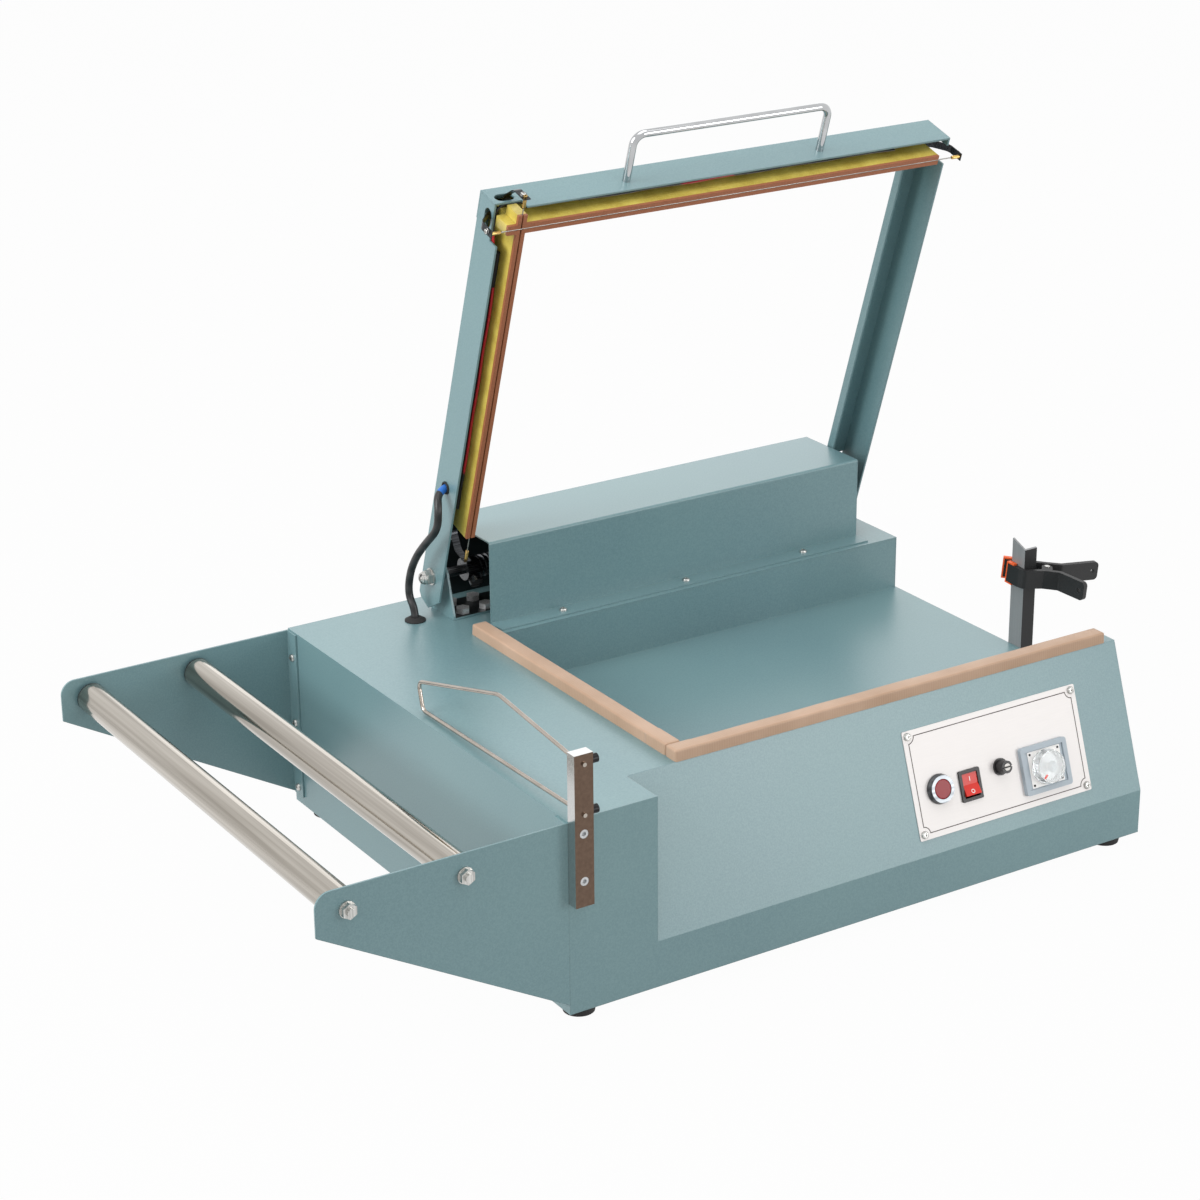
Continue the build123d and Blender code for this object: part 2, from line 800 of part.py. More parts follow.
# Pad rails: flat bars screwed down under the silicone
front_pad_y = hinge_from_front - front_bar_v
side_pad_front = front_pad_y + pad_width / 2 + touch_gap
rail_edge = (pad_width - pad_rail_width) / 2
with BuildPart() as pad_rails:
    rail_span = (cabinet_height, cabinet_height + pad_rail_height)
    front_rail_y = (front_pad_y - pad_rail_width / 2, front_pad_y + pad_rail_width / 2)
    block(cabinet_plane, (side_bar_x - pad_rail_width / 2, front_pad_right - rail_edge), front_rail_y, rail_span)
    side_rail_x = (side_bar_x - pad_rail_width / 2, side_bar_x + pad_rail_width / 2)
    block(cabinet_plane, side_rail_x, (side_pad_front + rail_edge, side_pad_back - rail_edge), rail_span)
keep(pad_rails, "pad_rails")


def pad(x_span, y_span):
    """A silicone pad wrapped in tape, hollow below for its rail, its top edges rounded."""
    block(cabinet_plane, x_span, y_span, (cabinet_height, cabinet_height + pad_height))


# Seal pads: taped silicone over the rails
with BuildPart() as seal_pad_front:
    pad((side_bar_x - pad_width / 2, front_pad_right), (front_pad_y - pad_width / 2, front_pad_y + pad_width / 2))
    fillet(seal_pad_front.edges().filter_by(Axis.X).group_by(Axis.Z)[-1], radius=pad_edge_radius)
    block(
        cabinet_plane,
        (side_bar_x - pad_rail_width / 2 - seat_fit, front_pad_right - rail_edge + seat_fit),
        (front_pad_y - pad_rail_width / 2 - seat_fit, front_pad_y + pad_rail_width / 2 + seat_fit),
        (cabinet_height - overrun, cabinet_height + pad_rail_height + seat_fit),
        Mode.SUBTRACT,
    )
keep(seal_pad_front, "seal_pad_front")

with BuildPart() as seal_pad_left:
    pad((side_bar_x - pad_width / 2, side_bar_x + pad_width / 2), (side_pad_front, side_pad_back))
    fillet(seal_pad_left.edges().filter_by(Axis.Y).group_by(Axis.Z)[-1], radius=pad_edge_radius)
    block(
        cabinet_plane,
        (side_bar_x - pad_rail_width / 2 - seat_fit, side_bar_x + pad_rail_width / 2 + seat_fit),
        (side_pad_front + rail_edge - seat_fit, side_pad_back - rail_edge + seat_fit),
        (cabinet_height - overrun, cabinet_height + pad_rail_height + seat_fit),
        Mode.SUBTRACT,
    )
keep(seal_pad_left, "seal_pad_left")

# Film post: a square steel bar on the cabinet's front left corner
opener_radius = opener_diameter / 2
clamp_heads = [(world(film_post_width, -film_post_depth / 2, z), right) for z in (opener_top, opener_low)]
clamp_grip = film_post_width - opener_x - opener_radius - clamp_screw_tip
with BuildPart() as film_post:
    block(cabinet_plane, (0, film_post_width), (-film_post_depth, 0), (film_post_bottom, film_post_top))
    for z in (opener_top, opener_low):
        rod(world(opener_x, -film_post_depth - overrun, z), back, opener_radius + running_fit, film_post_depth + overrun * 2, Mode.SUBTRACT)
    drill(clamp_heads, socket_hole, clamp_grip)
    drill(post_seat_screws, socket_hole, film_post_depth + overrun)
    for point, out in post_seat_screws:
        rod(point + out * overrun, out * -1, socket_head_diameter / 2 + hole_fit, overrun + socket_head_height, Mode.SUBTRACT)
keep(film_post, "film_post")

# Socket-head screws: two sunk in the post, two clamping the opener
with BuildPart() as socket_screws:
    for point, out in post_seat_screws:
        seat = point - out * socket_head_height
        rod(seat, out, socket_head_diameter / 2, socket_head_height - touch_gap)
        rod(seat, out * -1, socket_diameter / 2, film_post_depth - socket_head_height + screw_grip)
    for point, out in clamp_heads:
        rod(point, out, socket_head_diameter / 2, socket_head_height)
        rod(point, out * -1, socket_diameter / 2, clamp_grip)
    for point, out in [(p - o * touch_gap, o) for p, o in post_seat_screws] + [(p + o * socket_head_height, o) for p, o in clamp_heads]:
        with BuildSketch(Plane(origin=point, z_dir=out)):
            RegularPolygon(radius=socket_key / 2, side_count=6, major_radius=False)
        extrude(amount=-socket_key_depth, mode=Mode.SUBTRACT)
keep(socket_screws, "socket_screws")

# Film opener: one bent rod sliding in the post, its nose over the tray
with BuildPart() as film_opener:
    opener_points = [
        (-opener_front, opener_top),
        (opener_turn, opener_top),
        (opener_crest - film_post_depth, opener_top + opener_rise),
        (opener_length - film_post_depth, opener_top - opener_dip),
        (opener_length - film_post_depth - opener_tip_radius, opener_low - opener_under_dip),
        (opener_turn, opener_low),
        (-opener_front, opener_low),
    ]
    opener_radii = [opener_tip_radius * 4, opener_tip_radius * 4, opener_tip_radius, opener_tip_radius, opener_tip_radius * 4]
    tube([world(opener_x, y, z) for y, z in opener_points], opener_radii, opener_radius)
keep(film_opener, "film_opener")


# Roller rack: two tapered side plates flanged to the left wall
def rack_plate(inner_y, outward):
    """One rack plate with its flange turned inward, and the holes of both axles."""
    outline = [
        (0, rack_foot_rise),
        (0, rack_top),
        (-rack_reach, rack_top),
        (-rack_reach, rack_top - rack_outer_height),
    ]
    face = cabinet_face(inner_y) if outward.Y < 0 else cabinet_face(inner_y + rack_sheet)
    with BuildSketch(face) as side:
        with BuildLine():
            Polyline(*outline, close=True)
        make_face()
        corner = side.vertices().group_by(Axis.X)[0].sort_by(Axis.Y)[-1]
        fillet(corner, radius=rack_corner)
        with Locations((-outer_axle_reach, axle_height), (-inner_axle_reach, axle_height)):
            Circle(axle_diameter / 2 + seat_fit, mode=Mode.SUBTRACT)
    extrude(side.sketch, amount=rack_sheet)
    flange_y = sorted((inner_y, inner_y - outward.Y * (rack_flange - rack_sheet)))
    block(cabinet_plane, (-rack_sheet, 0), flange_y, (rack_foot_rise, rack_top))
    drill(rack_screws, screw_hole, rack_sheet * 2)


with BuildPart() as rack_plate_front:
    rack_plate(rack_sheet, front)
keep(rack_plate_front, "rack_plate_front")

with BuildPart() as rack_plate_rear:
    rack_plate(cabinet_depth - rack_sheet, back)
keep(rack_plate_rear, "rack_plate_rear")

# Axles: fixed rods, each held by a washer and a nut outside both plates
with BuildPart() as roller_axles:
    for reach in (outer_axle_reach, inner_axle_reach):
        rod(world(-reach, -axle_overhang, axle_height), back, axle_diameter / 2, cabinet_depth + axle_overhang * 2)
    for reach in (outer_axle_reach, inner_axle_reach):
        for y, out in ((0, front), (cabinet_depth, back)):
            seat = world(-reach, y, axle_height)
            with BuildSketch(Plane(origin=seat, z_dir=out)):
                Circle(washer_diameter / 2)
                Circle(axle_diameter / 2 + seat_fit, mode=Mode.SUBTRACT)
            extrude(amount=washer_height)
            with BuildSketch(Plane(origin=seat + out * washer_height, z_dir=out)):
                RegularPolygon(radius=nut_across / 2, side_count=6, major_radius=False)
                Circle(axle_diameter / 2 + seat_fit, mode=Mode.SUBTRACT)
            extrude(amount=nut_height)
keep(roller_axles, "roller_axles")


# Rollers: chromed tubes on plastic end caps that turn on the axles
def roller_tube(reach):
    """The tube of one roller, between its caps' lips."""
    first = rack_sheet + roller_end_gap + cap_lip
    with BuildSketch(Plane(origin=world(-reach, first, axle_height), z_dir=back)) as ring:
        Circle(roller_diameter / 2)
        Circle(roller_diameter / 2 - roller_wall, mode=Mode.SUBTRACT)
    extrude(ring.sketch, amount=cabinet_depth - first * 2)


def roller_caps(reach):
    """Both end caps of one roller."""
    for y, inward in ((rack_sheet + roller_end_gap, 1), (cabinet_depth - rack_sheet - roller_end_gap, -1)):
        turned(
            Plane(origin=world(-reach, y, axle_height), x_dir=(1, 0, 0), z_dir=(0, inward, 0)),
            [
                (axle_diameter / 2 + running_fit, 0),
                (roller_diameter / 2, 0),
                (roller_diameter / 2, cap_lip),
                (roller_diameter / 2 - roller_wall - seat_fit, cap_lip),
                (roller_diameter / 2 - roller_wall - seat_fit, cap_depth),
                (axle_diameter / 2 + running_fit, cap_depth),
            ],
        )


with BuildPart() as roller_outer:
    roller_tube(outer_axle_reach)
keep(roller_outer, "roller_outer")

with BuildPart() as roller_outer_caps:
    roller_caps(outer_axle_reach)
keep(roller_outer_caps, "roller_outer_caps")

with BuildPart() as roller_inner:
    roller_tube(inner_axle_reach)
keep(roller_inner, "roller_inner")

with BuildPart() as roller_inner_caps:
    roller_caps(inner_axle_reach)
keep(roller_inner_caps, "roller_inner_caps")

# Control plate on the sloped panel
with BuildPart() as panel_plate:
    with BuildSketch(on_panel(plate_centre, plate_rise)):
        RectangleRounded(plate_width, plate_height, plate_corner)
    extrude(amount=plate_sheet)
    for x, rise, width, height in (
        (rocker_x, rocker_rise, rocker_body_width, rocker_body_height),
        (timer_x, timer_rise, timer_body_width, timer_body_height),
    ):
        with BuildSketch(on_panel(x, rise)):
            Rectangle(width + window_margin, height + window_margin)
        extrude(amount=plate_sheet, mode=Mode.SUBTRACT)
    for x, rise, diameter in (
        (button_x, button_rise, button_barrel_diameter),
        (fuse_x, fuse_rise, fuse_barrel_diameter),
    ):
        with BuildSketch(on_panel(x, rise)):
            Circle(diameter / 2 + window_margin / 2)
        extrude(amount=plate_sheet, mode=Mode.SUBTRACT)
    drill(plate_screws, screw_hole, plate_sheet * 2)
keep(panel_plate, "panel_plate")

# Push button: bezel with its barrel, and the lens that moves in it
with BuildPart() as button_bezel:
    bezel_top = plate_sheet + button_bezel_height
    turned(
        on_panel(button_x, button_rise),
        [
            (0, -button_barrel_depth),
            (button_barrel_diameter / 2, -button_barrel_depth),
            (button_barrel_diameter / 2, plate_sheet),
            (button_bezel_diameter / 2, plate_sheet),
            (button_bezel_diameter / 2, plate_sheet + button_dome),
            (button_bezel_diameter / 2 - button_dome, bezel_top),
            (button_bore / 2, bezel_top),
            (button_bore / 2, -button_lens_depth - button_travel - touch_gap),
            (0, -button_lens_depth - button_travel - touch_gap),
        ],
    )
keep(button_bezel, "button_bezel")

with BuildPart() as button_lens:
    lens_radius = button_bore / 2 - running_fit
    with BuildSketch(on_panel(button_x, button_rise, -button_lens_depth)):
        Circle(lens_radius)
    extrude(amount=button_lens_depth + plate_sheet + button_lens_height)
    fillet(button_lens.faces().sort_by(Axis(button_lens.part.center(), panel_plane.z_dir))[-1].edges(), radius=button_dome)
keep(button_lens, "button_lens")

# Rocker switch: bezel and body, and the paddle that tips in it
rocker_pivot = panel_plane.from_local_coords(Vector(rocker_x, rocker_rise, -rocker_pivot_depth))
rocker_width = rocker_body_width - rocker_wall * 2 - rocker_side_gap * 2
with BuildPart() as rocker_bezel:
    with BuildSketch(on_panel(rocker_x, rocker_rise, plate_sheet)):
        RectangleRounded(rocker_bezel_width, rocker_bezel_height, plate_corner)
    extrude(amount=rocker_bezel_lip)
    with BuildSketch(on_panel(rocker_x, rocker_rise, -rocker_body_depth)):
        Rectangle(rocker_body_width, rocker_body_height)
    extrude(amount=rocker_body_depth + plate_sheet)
    with BuildSketch(on_panel(rocker_x, rocker_rise, rocker_wall - rocker_body_depth)):
        Rectangle(rocker_body_width - rocker_wall * 2, rocker_body_height - rocker_wall * 2)
    extrude(amount=rocker_body_depth + plate_sheet + rocker_bezel_lip, mode=Mode.SUBTRACT)
    pin_from = rocker_pivot - right * (rocker_width / 2 + rocker_pin_reach + touch_gap)
    pin_run = rocker_width + (rocker_pin_reach + touch_gap) * 2
    rod(pin_from, right, rocker_pin_diameter / 2 + running_fit, pin_run, Mode.SUBTRACT)
keep(rocker_bezel, "rocker_bezel")

tipped = math.radians(rocker_tilt)
tipped_along = panel_plane.y_dir * math.cos(tipped) - panel_plane.z_dir * math.sin(tipped)
with BuildPart() as rocker:
    paddle_plane = Plane(origin=rocker_pivot - right * (rocker_width / 2), x_dir=tipped_along, z_dir=right)
    end = rocker_end_height + rocker_pivot_depth
    prism(
        paddle_plane,
        [
            (-rocker_half_length, end),
            (0, rocker_valley_height + rocker_pivot_depth),
            (rocker_half_length, end),
            (rocker_half_length, -rocker_shoulder + rocker_pivot_depth),
            (rocker_belly_half, -rocker_belly + rocker_pivot_depth),
            (-rocker_belly_half, -rocker_belly + rocker_pivot_depth),
            (-rocker_half_length, -rocker_shoulder + rocker_pivot_depth),
        ],
        rocker_width,
    )
    pin_start = rocker_pivot - right * (rocker_width / 2 + rocker_pin_reach)
    rod(pin_start, right, rocker_pin_diameter / 2, rocker_width + rocker_pin_reach * 2)
keep(rocker, "rocker")

# Fuse holder and its bayonet cap
with BuildPart() as fuse_holder:
    turned(
        on_panel(fuse_x, fuse_rise),
        [
            (0, -fuse_barrel_depth),
            (fuse_barrel_diameter / 2, -fuse_barrel_depth),
            (fuse_barrel_diameter / 2, plate_sheet),
            (fuse_flange_diameter / 2, plate_sheet),
            (fuse_flange_diameter / 2, plate_sheet + fuse_flange_height),
            (fuse_bore / 2, plate_sheet + fuse_flange_height),
            (fuse_bore / 2, -fuse_plug_depth - touch_gap),
            (0, -fuse_plug_depth - touch_gap),
        ],
    )
keep(fuse_holder, "fuse_holder")

with BuildPart() as fuse_cap:
    cap_base = plate_sheet + fuse_flange_height + touch_gap
    turned(
        on_panel(fuse_x, fuse_rise),
        [
            (0, -fuse_plug_depth),
            (fuse_bore / 2 - running_fit, -fuse_plug_depth),
            (fuse_bore / 2 - running_fit, cap_base),
            (fuse_cap_diameter / 2, cap_base),
            (fuse_cap_diameter / 2 - fuse_slot_width / 2, cap_base + fuse_cap_height),
            (0, cap_base + fuse_cap_height),
        ],
    )
    with BuildSketch(on_panel(fuse_x, fuse_rise, cap_base + fuse_cap_height)):
        Rectangle(fuse_cap_diameter, fuse_slot_width)
    extrude(amount=-fuse_slot_depth, mode=Mode.SUBTRACT)
keep(fuse_cap, "fuse_cap")

# Timer: rimmed case with a sunk dial, and its round knob
with BuildPart() as timer_case:
    rim_top = plate_sheet + timer_bezel_lip
    with BuildSketch(on_panel(timer_x, timer_rise, plate_sheet)):
        RectangleRounded(timer_bezel_width, timer_bezel_height, timer_corner)
    extrude(amount=timer_bezel_lip)
    with BuildSketch(on_panel(timer_x, timer_rise, -timer_body_depth)):
        Rectangle(timer_body_width, timer_body_height)
    extrude(amount=timer_body_depth + plate_sheet)
    with BuildSketch(on_panel(timer_x, timer_rise, rim_top)):
        Rectangle(timer_bezel_width - timer_rim * 2, timer_bezel_height - timer_rim * 2)
    extrude(amount=-timer_dial_drop, mode=Mode.SUBTRACT)
    dial_level = rim_top - timer_dial_drop
    with BuildSketch(on_panel(timer_x, timer_rise, dial_level)):
        Circle(timer_spindle_diameter / 2 + running_fit)
    extrude(amount=-timer_spindle_depth - touch_gap, mode=Mode.SUBTRACT)
keep(timer_case, "timer_case")

with BuildPart() as timer_knob:
    knob_base = dial_level + timer_knob_gap
    turned(
        on_panel(timer_x, timer_rise),
        [
            (0, dial_level - timer_spindle_depth),
            (timer_spindle_diameter / 2, dial_level - timer_spindle_depth),
            (timer_spindle_diameter / 2, knob_base),
            (timer_knob_diameter / 2, knob_base),
            (timer_knob_diameter / 2, knob_base + timer_knob_height / 2),
            (timer_knob_diameter / 2 - timer_knob_taper, knob_base + timer_knob_height),
            (0, knob_base + timer_knob_height),
        ],
    )
keep(timer_knob, "timer_knob")

# Transformer on the bottom plate: a core with its winding
with BuildPart() as transformer:
    core_x = (transformer_x - transformer_width / 2, transformer_x + transformer_width / 2)
    core_y = (transformer_y - transformer_stack / 2, transformer_y + transformer_stack / 2)
    coil_x = (transformer_x - transformer_width / 4, transformer_x + transformer_width / 4)
    coil_y = (transformer_y - transformer_depth / 2, transformer_y + transformer_depth / 2)
    coil_margin = transformer_height / 6
    block(cabinet_plane, core_x, core_y, (sheet, sheet + transformer_height))
    block(cabinet_plane, coil_x, coil_y, (sheet + coil_margin, sheet + transformer_height - coil_margin))
keep(transformer, "transformer")

# Terminal block and relay beside it
with BuildPart() as terminal_block:
    terminal_x_span = (terminal_x - terminal_length / 2, terminal_x + terminal_length / 2)
    terminal_y_span = (transformer_y - terminal_width / 2, transformer_y + terminal_width / 2)
    block(cabinet_plane, terminal_x_span, terminal_y_span, (sheet, sheet + terminal_height))
    slot_depth = (sheet + terminal_height - terminal_step, sheet + terminal_height + overrun)
    with BuildSketch(cabinet_plane.offset(slot_depth[0])):
        with Locations((terminal_x, transformer_y)):
            with GridLocations(terminal_pitch, 0, int(terminal_length / terminal_pitch) - 1, 1):
                Rectangle(terminal_slot, terminal_width)
    extrude(amount=slot_depth[1] - slot_depth[0], mode=Mode.SUBTRACT)
keep(terminal_block, "terminal_block")

with BuildPart() as relay:
    for width, depth, low, high in (
        (relay_width + terminal_step, relay_depth + terminal_step * 2, 0, relay_base),
        (relay_width, relay_depth, relay_base, relay_height),
    ):
        relay_x_span = (relay_x - width / 2, relay_x + width / 2)
        relay_y_span = (transformer_y - depth / 2, transformer_y + depth / 2)
        block(cabinet_plane, relay_x_span, relay_y_span, (sheet + low, sheet + high))
keep(relay, "relay")

# Micro switch under the cover, on the right bracket's inner ear
with BuildPart() as micro_switch:
    switch_x = frame_middle * 2 - bracket_left - bracket_width
    switch_y = (hinge_from_front - switch_length / 2, hinge_from_front + switch_length / 2)
    switch_z = (cabinet_height + switch_level - switch_height, cabinet_height + switch_level)
    block(cabinet_plane, (switch_x - switch_thickness, switch_x), switch_y, switch_z)
keep(micro_switch, "micro_switch")

# Clamp post: an angle with a mitred top on the right wall
with BuildPart() as clamp_post:
    post_span = (post_bottom, post_top)
    block(cabinet_plane, (cabinet_width, cabinet_width + post_wall), (post_front, post_front + post_depth), post_span)
    block(cabinet_plane, (cabinet_width, cabinet_width + post_width), (post_front, post_front + post_wall), post_span)
    prism(
        cabinet_side(cabinet_width - overrun),
        [
            (post_front - overrun, post_top + overrun),
            (post_front - overrun, post_top - post_mitre_drop - overrun * post_mitre_drop / post_depth),
            (post_front + post_depth, post_top),
            (post_front + post_depth, post_top + overrun),
        ],
        post_width + overrun * 2,
        Mode.SUBTRACT,
    )
    drill(post_screws, screw_hole, post_wall * 2)
keep(clamp_post, "clamp_post")

# Spring clamp: two nylon arms on a pin, with pads, closed round the post
along_clamp = Vector(math.cos(yaw) * math.cos(pitch), -math.sin(yaw) * math.cos(pitch), -math.sin(pitch))
across_clamp = Vector(math.sin(yaw), math.cos(yaw), 0)
clamp_plane = Plane(origin=world(clamp_x, clamp_y, clamp_z), x_dir=along_clamp, z_dir=along_clamp.cross(across_clamp))
lug_low = clamp_half_height - clamp_lug


def clamp_path(shares):
    """The path of one arm in the clamp's own plane, from its handle end to its jaw tip."""
    return [(clamp_reach * along, clamp_reach * across) for along, across in shares]


def clamp_arm(builder, shares, lugs):
    """One arm: a deep band along its path, rounded and drilled at its handle end, with lugs that reach the pin."""
    points = clamp_path(shares)
    with BuildSketch(clamp_plane) as band:
        with BuildLine():
            FilletPolyline(*points, radius=clamp_reach * clamp_bend_share)
        trace(line_width=clamp_band)
    extrude(band.sketch, amount=clamp_half_height, both=True)
    handle_end = clamp_plane.from_local_coords(Vector(*points[0]))
    end_face = builder.faces().sort_by_distance(handle_end)[0]
    end_corners = [edge for edge in end_face.edges() if abs(edge.length - clamp_band) < touch_gap]
    fillet(end_corners, radius=clamp_end_radius)
    run = (clamp_plane.from_local_coords(Vector(*points[1])) - handle_end).normalized()
    hole_axis = run.cross(clamp_plane.z_dir)
    hole_start = handle_end + run * clamp_hole_inset - hole_axis * clamp_band
    rod(hole_start, hole_axis, clamp_handle_hole / 2, clamp_band * 2, Mode.SUBTRACT)
    side = math.copysign(clamp_arm_offset, shares[2][1])
    for low, high in lugs:
        with BuildSketch(clamp_plane.offset(low)) as lug:
            Circle(clamp_boss_radius)
            with Locations((0, side / 2)):
                Rectangle(clamp_boss_radius * 2, clamp_arm_offset)
            Circle(clamp_pin_diameter / 2 + running_fit, mode=Mode.SUBTRACT)
        extrude(lug.sketch, amount=high - low)


def clamp_shoe(shares):
    """The soft shoe hooked over one jaw tip, above, below and past the end of the arm."""
    points = clamp_path(shares)
    tip = clamp_plane.from_local_coords(Vector(*points[-1]))
    ahead = (tip - clamp_plane.from_local_coords(Vector(*points[-2]))).normalized()
    shoe_plane = Plane(origin=tip, x_dir=ahead, z_dir=clamp_plane.z_dir)
    half_width = clamp_band / 2
    shoe_half = clamp_half_height + clamp_shoe_wall
    tip_half = clamp_half_height + seat_fit
    block(shoe_plane, (-clamp_shoe_length, clamp_shoe_wall), (-half_width, half_width), (-shoe_half, shoe_half))
    tip_cut = (-clamp_shoe_length - overrun, seat_fit)
    block(shoe_plane, tip_cut, (-clamp_band, clamp_band), (-tip_half, tip_half), Mode.SUBTRACT)


with BuildPart() as clamp_arm_front:
    clamp_arm(clamp_arm_front, front_arm_shares, [(lug_low, clamp_half_height), (-clamp_half_height, -lug_low)])
keep(clamp_arm_front, "clamp_arm_front")

with BuildPart() as clamp_arm_rear:
    inner = lug_low - clamp_gap
    clamp_arm(clamp_arm_rear, rear_arm_shares, [(inner - clamp_lug / 2, inner), (-inner, clamp_lug / 2 - inner)])
keep(clamp_arm_rear, "clamp_arm_rear")

with BuildPart() as clamp_shoe_front:
    clamp_shoe(front_arm_shares)
keep(clamp_shoe_front, "clamp_shoe_front")

with BuildPart() as clamp_shoe_rear:
    clamp_shoe(rear_arm_shares)
keep(clamp_shoe_rear, "clamp_shoe_rear")

with BuildPart() as clamp_pin:
    pin_low = clamp_plane.from_local_coords(Vector(0, 0, -clamp_half_height))
    rod(pin_low, clamp_plane.z_dir, clamp_pin_diameter / 2, clamp_half_height * 2)
    for level in (-clamp_half_height, clamp_half_height):
        pin_end = clamp_plane.from_local_coords(Vector(0, 0, level))
        rod(pin_end, clamp_plane.z_dir * math.copysign(1, level), clamp_boss_radius / 2 + running_fit, clamp_gap * 2)
keep(clamp_pin, "clamp_pin")

with BuildPart() as clamp_spring:
    spring_half = lug_low - clamp_gap * 2 - clamp_lug / 2
    with BuildSketch(clamp_plane.offset(-spring_half)):
        Circle(clamp_pin_diameter / 2 + clamp_gap + clamp_spring_wall)
        Circle(clamp_pin_diameter / 2 + clamp_gap, mode=Mode.SUBTRACT)
    extrude(amount=spring_half * 2)
keep(clamp_spring, "clamp_spring")

# Grommet in the table and the cable that it lets through to the frame
with BuildPart() as table_grommet:
    turned(
        Plane(origin=world(grommet_x, grommet_y, cabinet_height)),
        [
            (cable_diameter / 2 + seat_fit, 0),
            (grommet_diameter / 2, 0),
            (grommet_diameter / 2, grommet_height / 4),
            (cable_diameter / 2 + grommet_height / 2, grommet_height),
            (cable_diameter / 2 + seat_fit, grommet_height),
        ],
    )
keep(table_grommet, "table_grommet")


# Sealing frame: a left channel, a front channel and a right channel
def arm_flange(notch):
    """The outline of an arm's outer flange, from its tail to the front channel."""
    return [
        (channel_start, arm_above_axis),
        (-web_start, arm_above_axis),
        (-tail_shoulder, arm_above_axis - tail_drop),
        (-arm_tail, -tail_point_drop),
        (-tail_toe, arm_low),
    ] + notch + [(flange_inside, web_level), (channel_start, web_level)]


def round_bend(builder, point, direction):
    """Round the folded edge nearest a point, along a direction."""
    folds = builder.edges().filter_by(Axis((0, 0, 0), direction)).sort_by_distance(point)
    fillet(folds[0], radius=bend_radius)


shaft_hole = shaft_radius + seat_fit
corner_notch_level = arm_low + corner_notch_height
with BuildPart() as arm_left_channel:
    corner_notch = [
        (flange_inside - corner_notch_length, arm_low),
        (flange_inside - corner_notch_length, corner_notch_level),
        (flange_inside, corner_notch_level),
    ]
    prism(frame_side(arm_left + arm_sheet), arm_flange(corner_notch), arm_sheet)
    web_v = (web_start, channel_start)
    frame_block((arm_left, arm_left + channel_width), web_v, (web_level, arm_above_axis))
    lip_w = (arm_above_axis - channel_lip, arm_above_axis)
    frame_block((arm_left + channel_width - arm_sheet, arm_left + channel_width), web_v, lip_w)
    round_bend(arm_left_channel, on_frame(arm_left, frame_reach / 2, arm_above_axis), frame_out)
    cut_from = arm_left + arm_sheet + overrun
    cut_length = arm_sheet + overrun * 2
    rod(on_frame(cut_from, 0, 0), left, shaft_hole, cut_length, Mode.SUBTRACT)
    rod(on_frame(cut_from, cable_hole_reach, cable_hole_level), left, cable_hole_diameter / 2, cut_length, Mode.SUBTRACT)
    with BuildSketch(frame_side(cut_from)):
        with Locations((front_bar_v - slot_offset, 0)):
            SlotOverall(slot_length, slot_height)
    extrude(amount=cut_length, mode=Mode.SUBTRACT)
    drill(side_bar_screws, screw_hole, arm_sheet * 2)
keep(arm_left_channel, "arm_left")

with BuildPart() as bar_front:
    with BuildSketch(frame_face(flange_inside)) as face:
        with BuildLine():
            Polyline(
                (arm_left, corner_notch_level),
                (arm_left + channel_width, corner_notch_level),
                (arm_left + channel_width, arm_low),
                (frame_right, arm_low),
                (frame_right, arm_above_axis),
                (arm_left, arm_above_axis),
                close=True,
            )
        make_face()
        with Locations((side_bar_x - slot_offset, 0)):
            SlotOverall(slot_length, slot_height, mode=Mode.SUBTRACT)
        with Locations((handle_left, handle_level), (handle_right, handle_level)):
            Circle(screw_hole, mode=Mode.SUBTRACT)
    extrude(amount=arm_sheet)
    frame_block((arm_left, frame_right), (channel_start, flange_inside), (web_level, arm_above_axis))
    front_lip_x = (arm_left + channel_width, right_arm_left)
    frame_block(front_lip_x, (channel_start, channel_start + arm_sheet), lip_w)
    round_bend(bar_front, on_frame(frame_middle, frame_reach, arm_above_axis), right)
    drill(front_bar_screws, screw_hole, arm_sheet * 2)
keep(bar_front, "bar_front")

with BuildPart() as arm_right:
    right_notch_end = right_notch_start + right_notch_length
    right_notch = [
        (right_notch_start, arm_low),
        (right_notch_start, arm_low + right_notch_height),
        (right_notch_end, arm_low + right_notch_height),
        (right_notch_end, arm_low),
        (flange_inside, arm_low),
    ]
    prism(frame_side(frame_right), arm_flange(right_notch), arm_sheet)
    frame_block((right_arm_left, frame_right), web_v, (web_level, arm_above_axis))
    frame_block((right_arm_left, right_arm_left + arm_sheet), web_v, lip_w)
    round_bend(arm_right, on_frame(frame_right, frame_reach / 2, arm_above_axis), frame_out)
    rod(on_frame(frame_right + overrun, 0, 0), left, shaft_hole, cut_length, Mode.SUBTRACT)
keep(arm_right, "arm_right")

# Handle: one bent rod screwed to the front channel from inside
handle_points = [
    on_frame(handle_left, frame_reach, handle_level),
    on_frame(handle_left, frame_reach + handle_reach, handle_level),
    on_frame(handle_right, frame_reach + handle_reach, handle_level),
    on_frame(handle_right, frame_reach, handle_level),
]
with BuildPart() as handle:
    tube(handle_points, [handle_bend, handle_bend], handle_diameter / 2)
    for point, out in handle_screws:
        rod(point - out * arm_sheet, out * -1, screw_diameter / 2 + seat_fit, screw_grip - arm_sheet + touch_gap, Mode.SUBTRACT)
keep(handle, "handle")

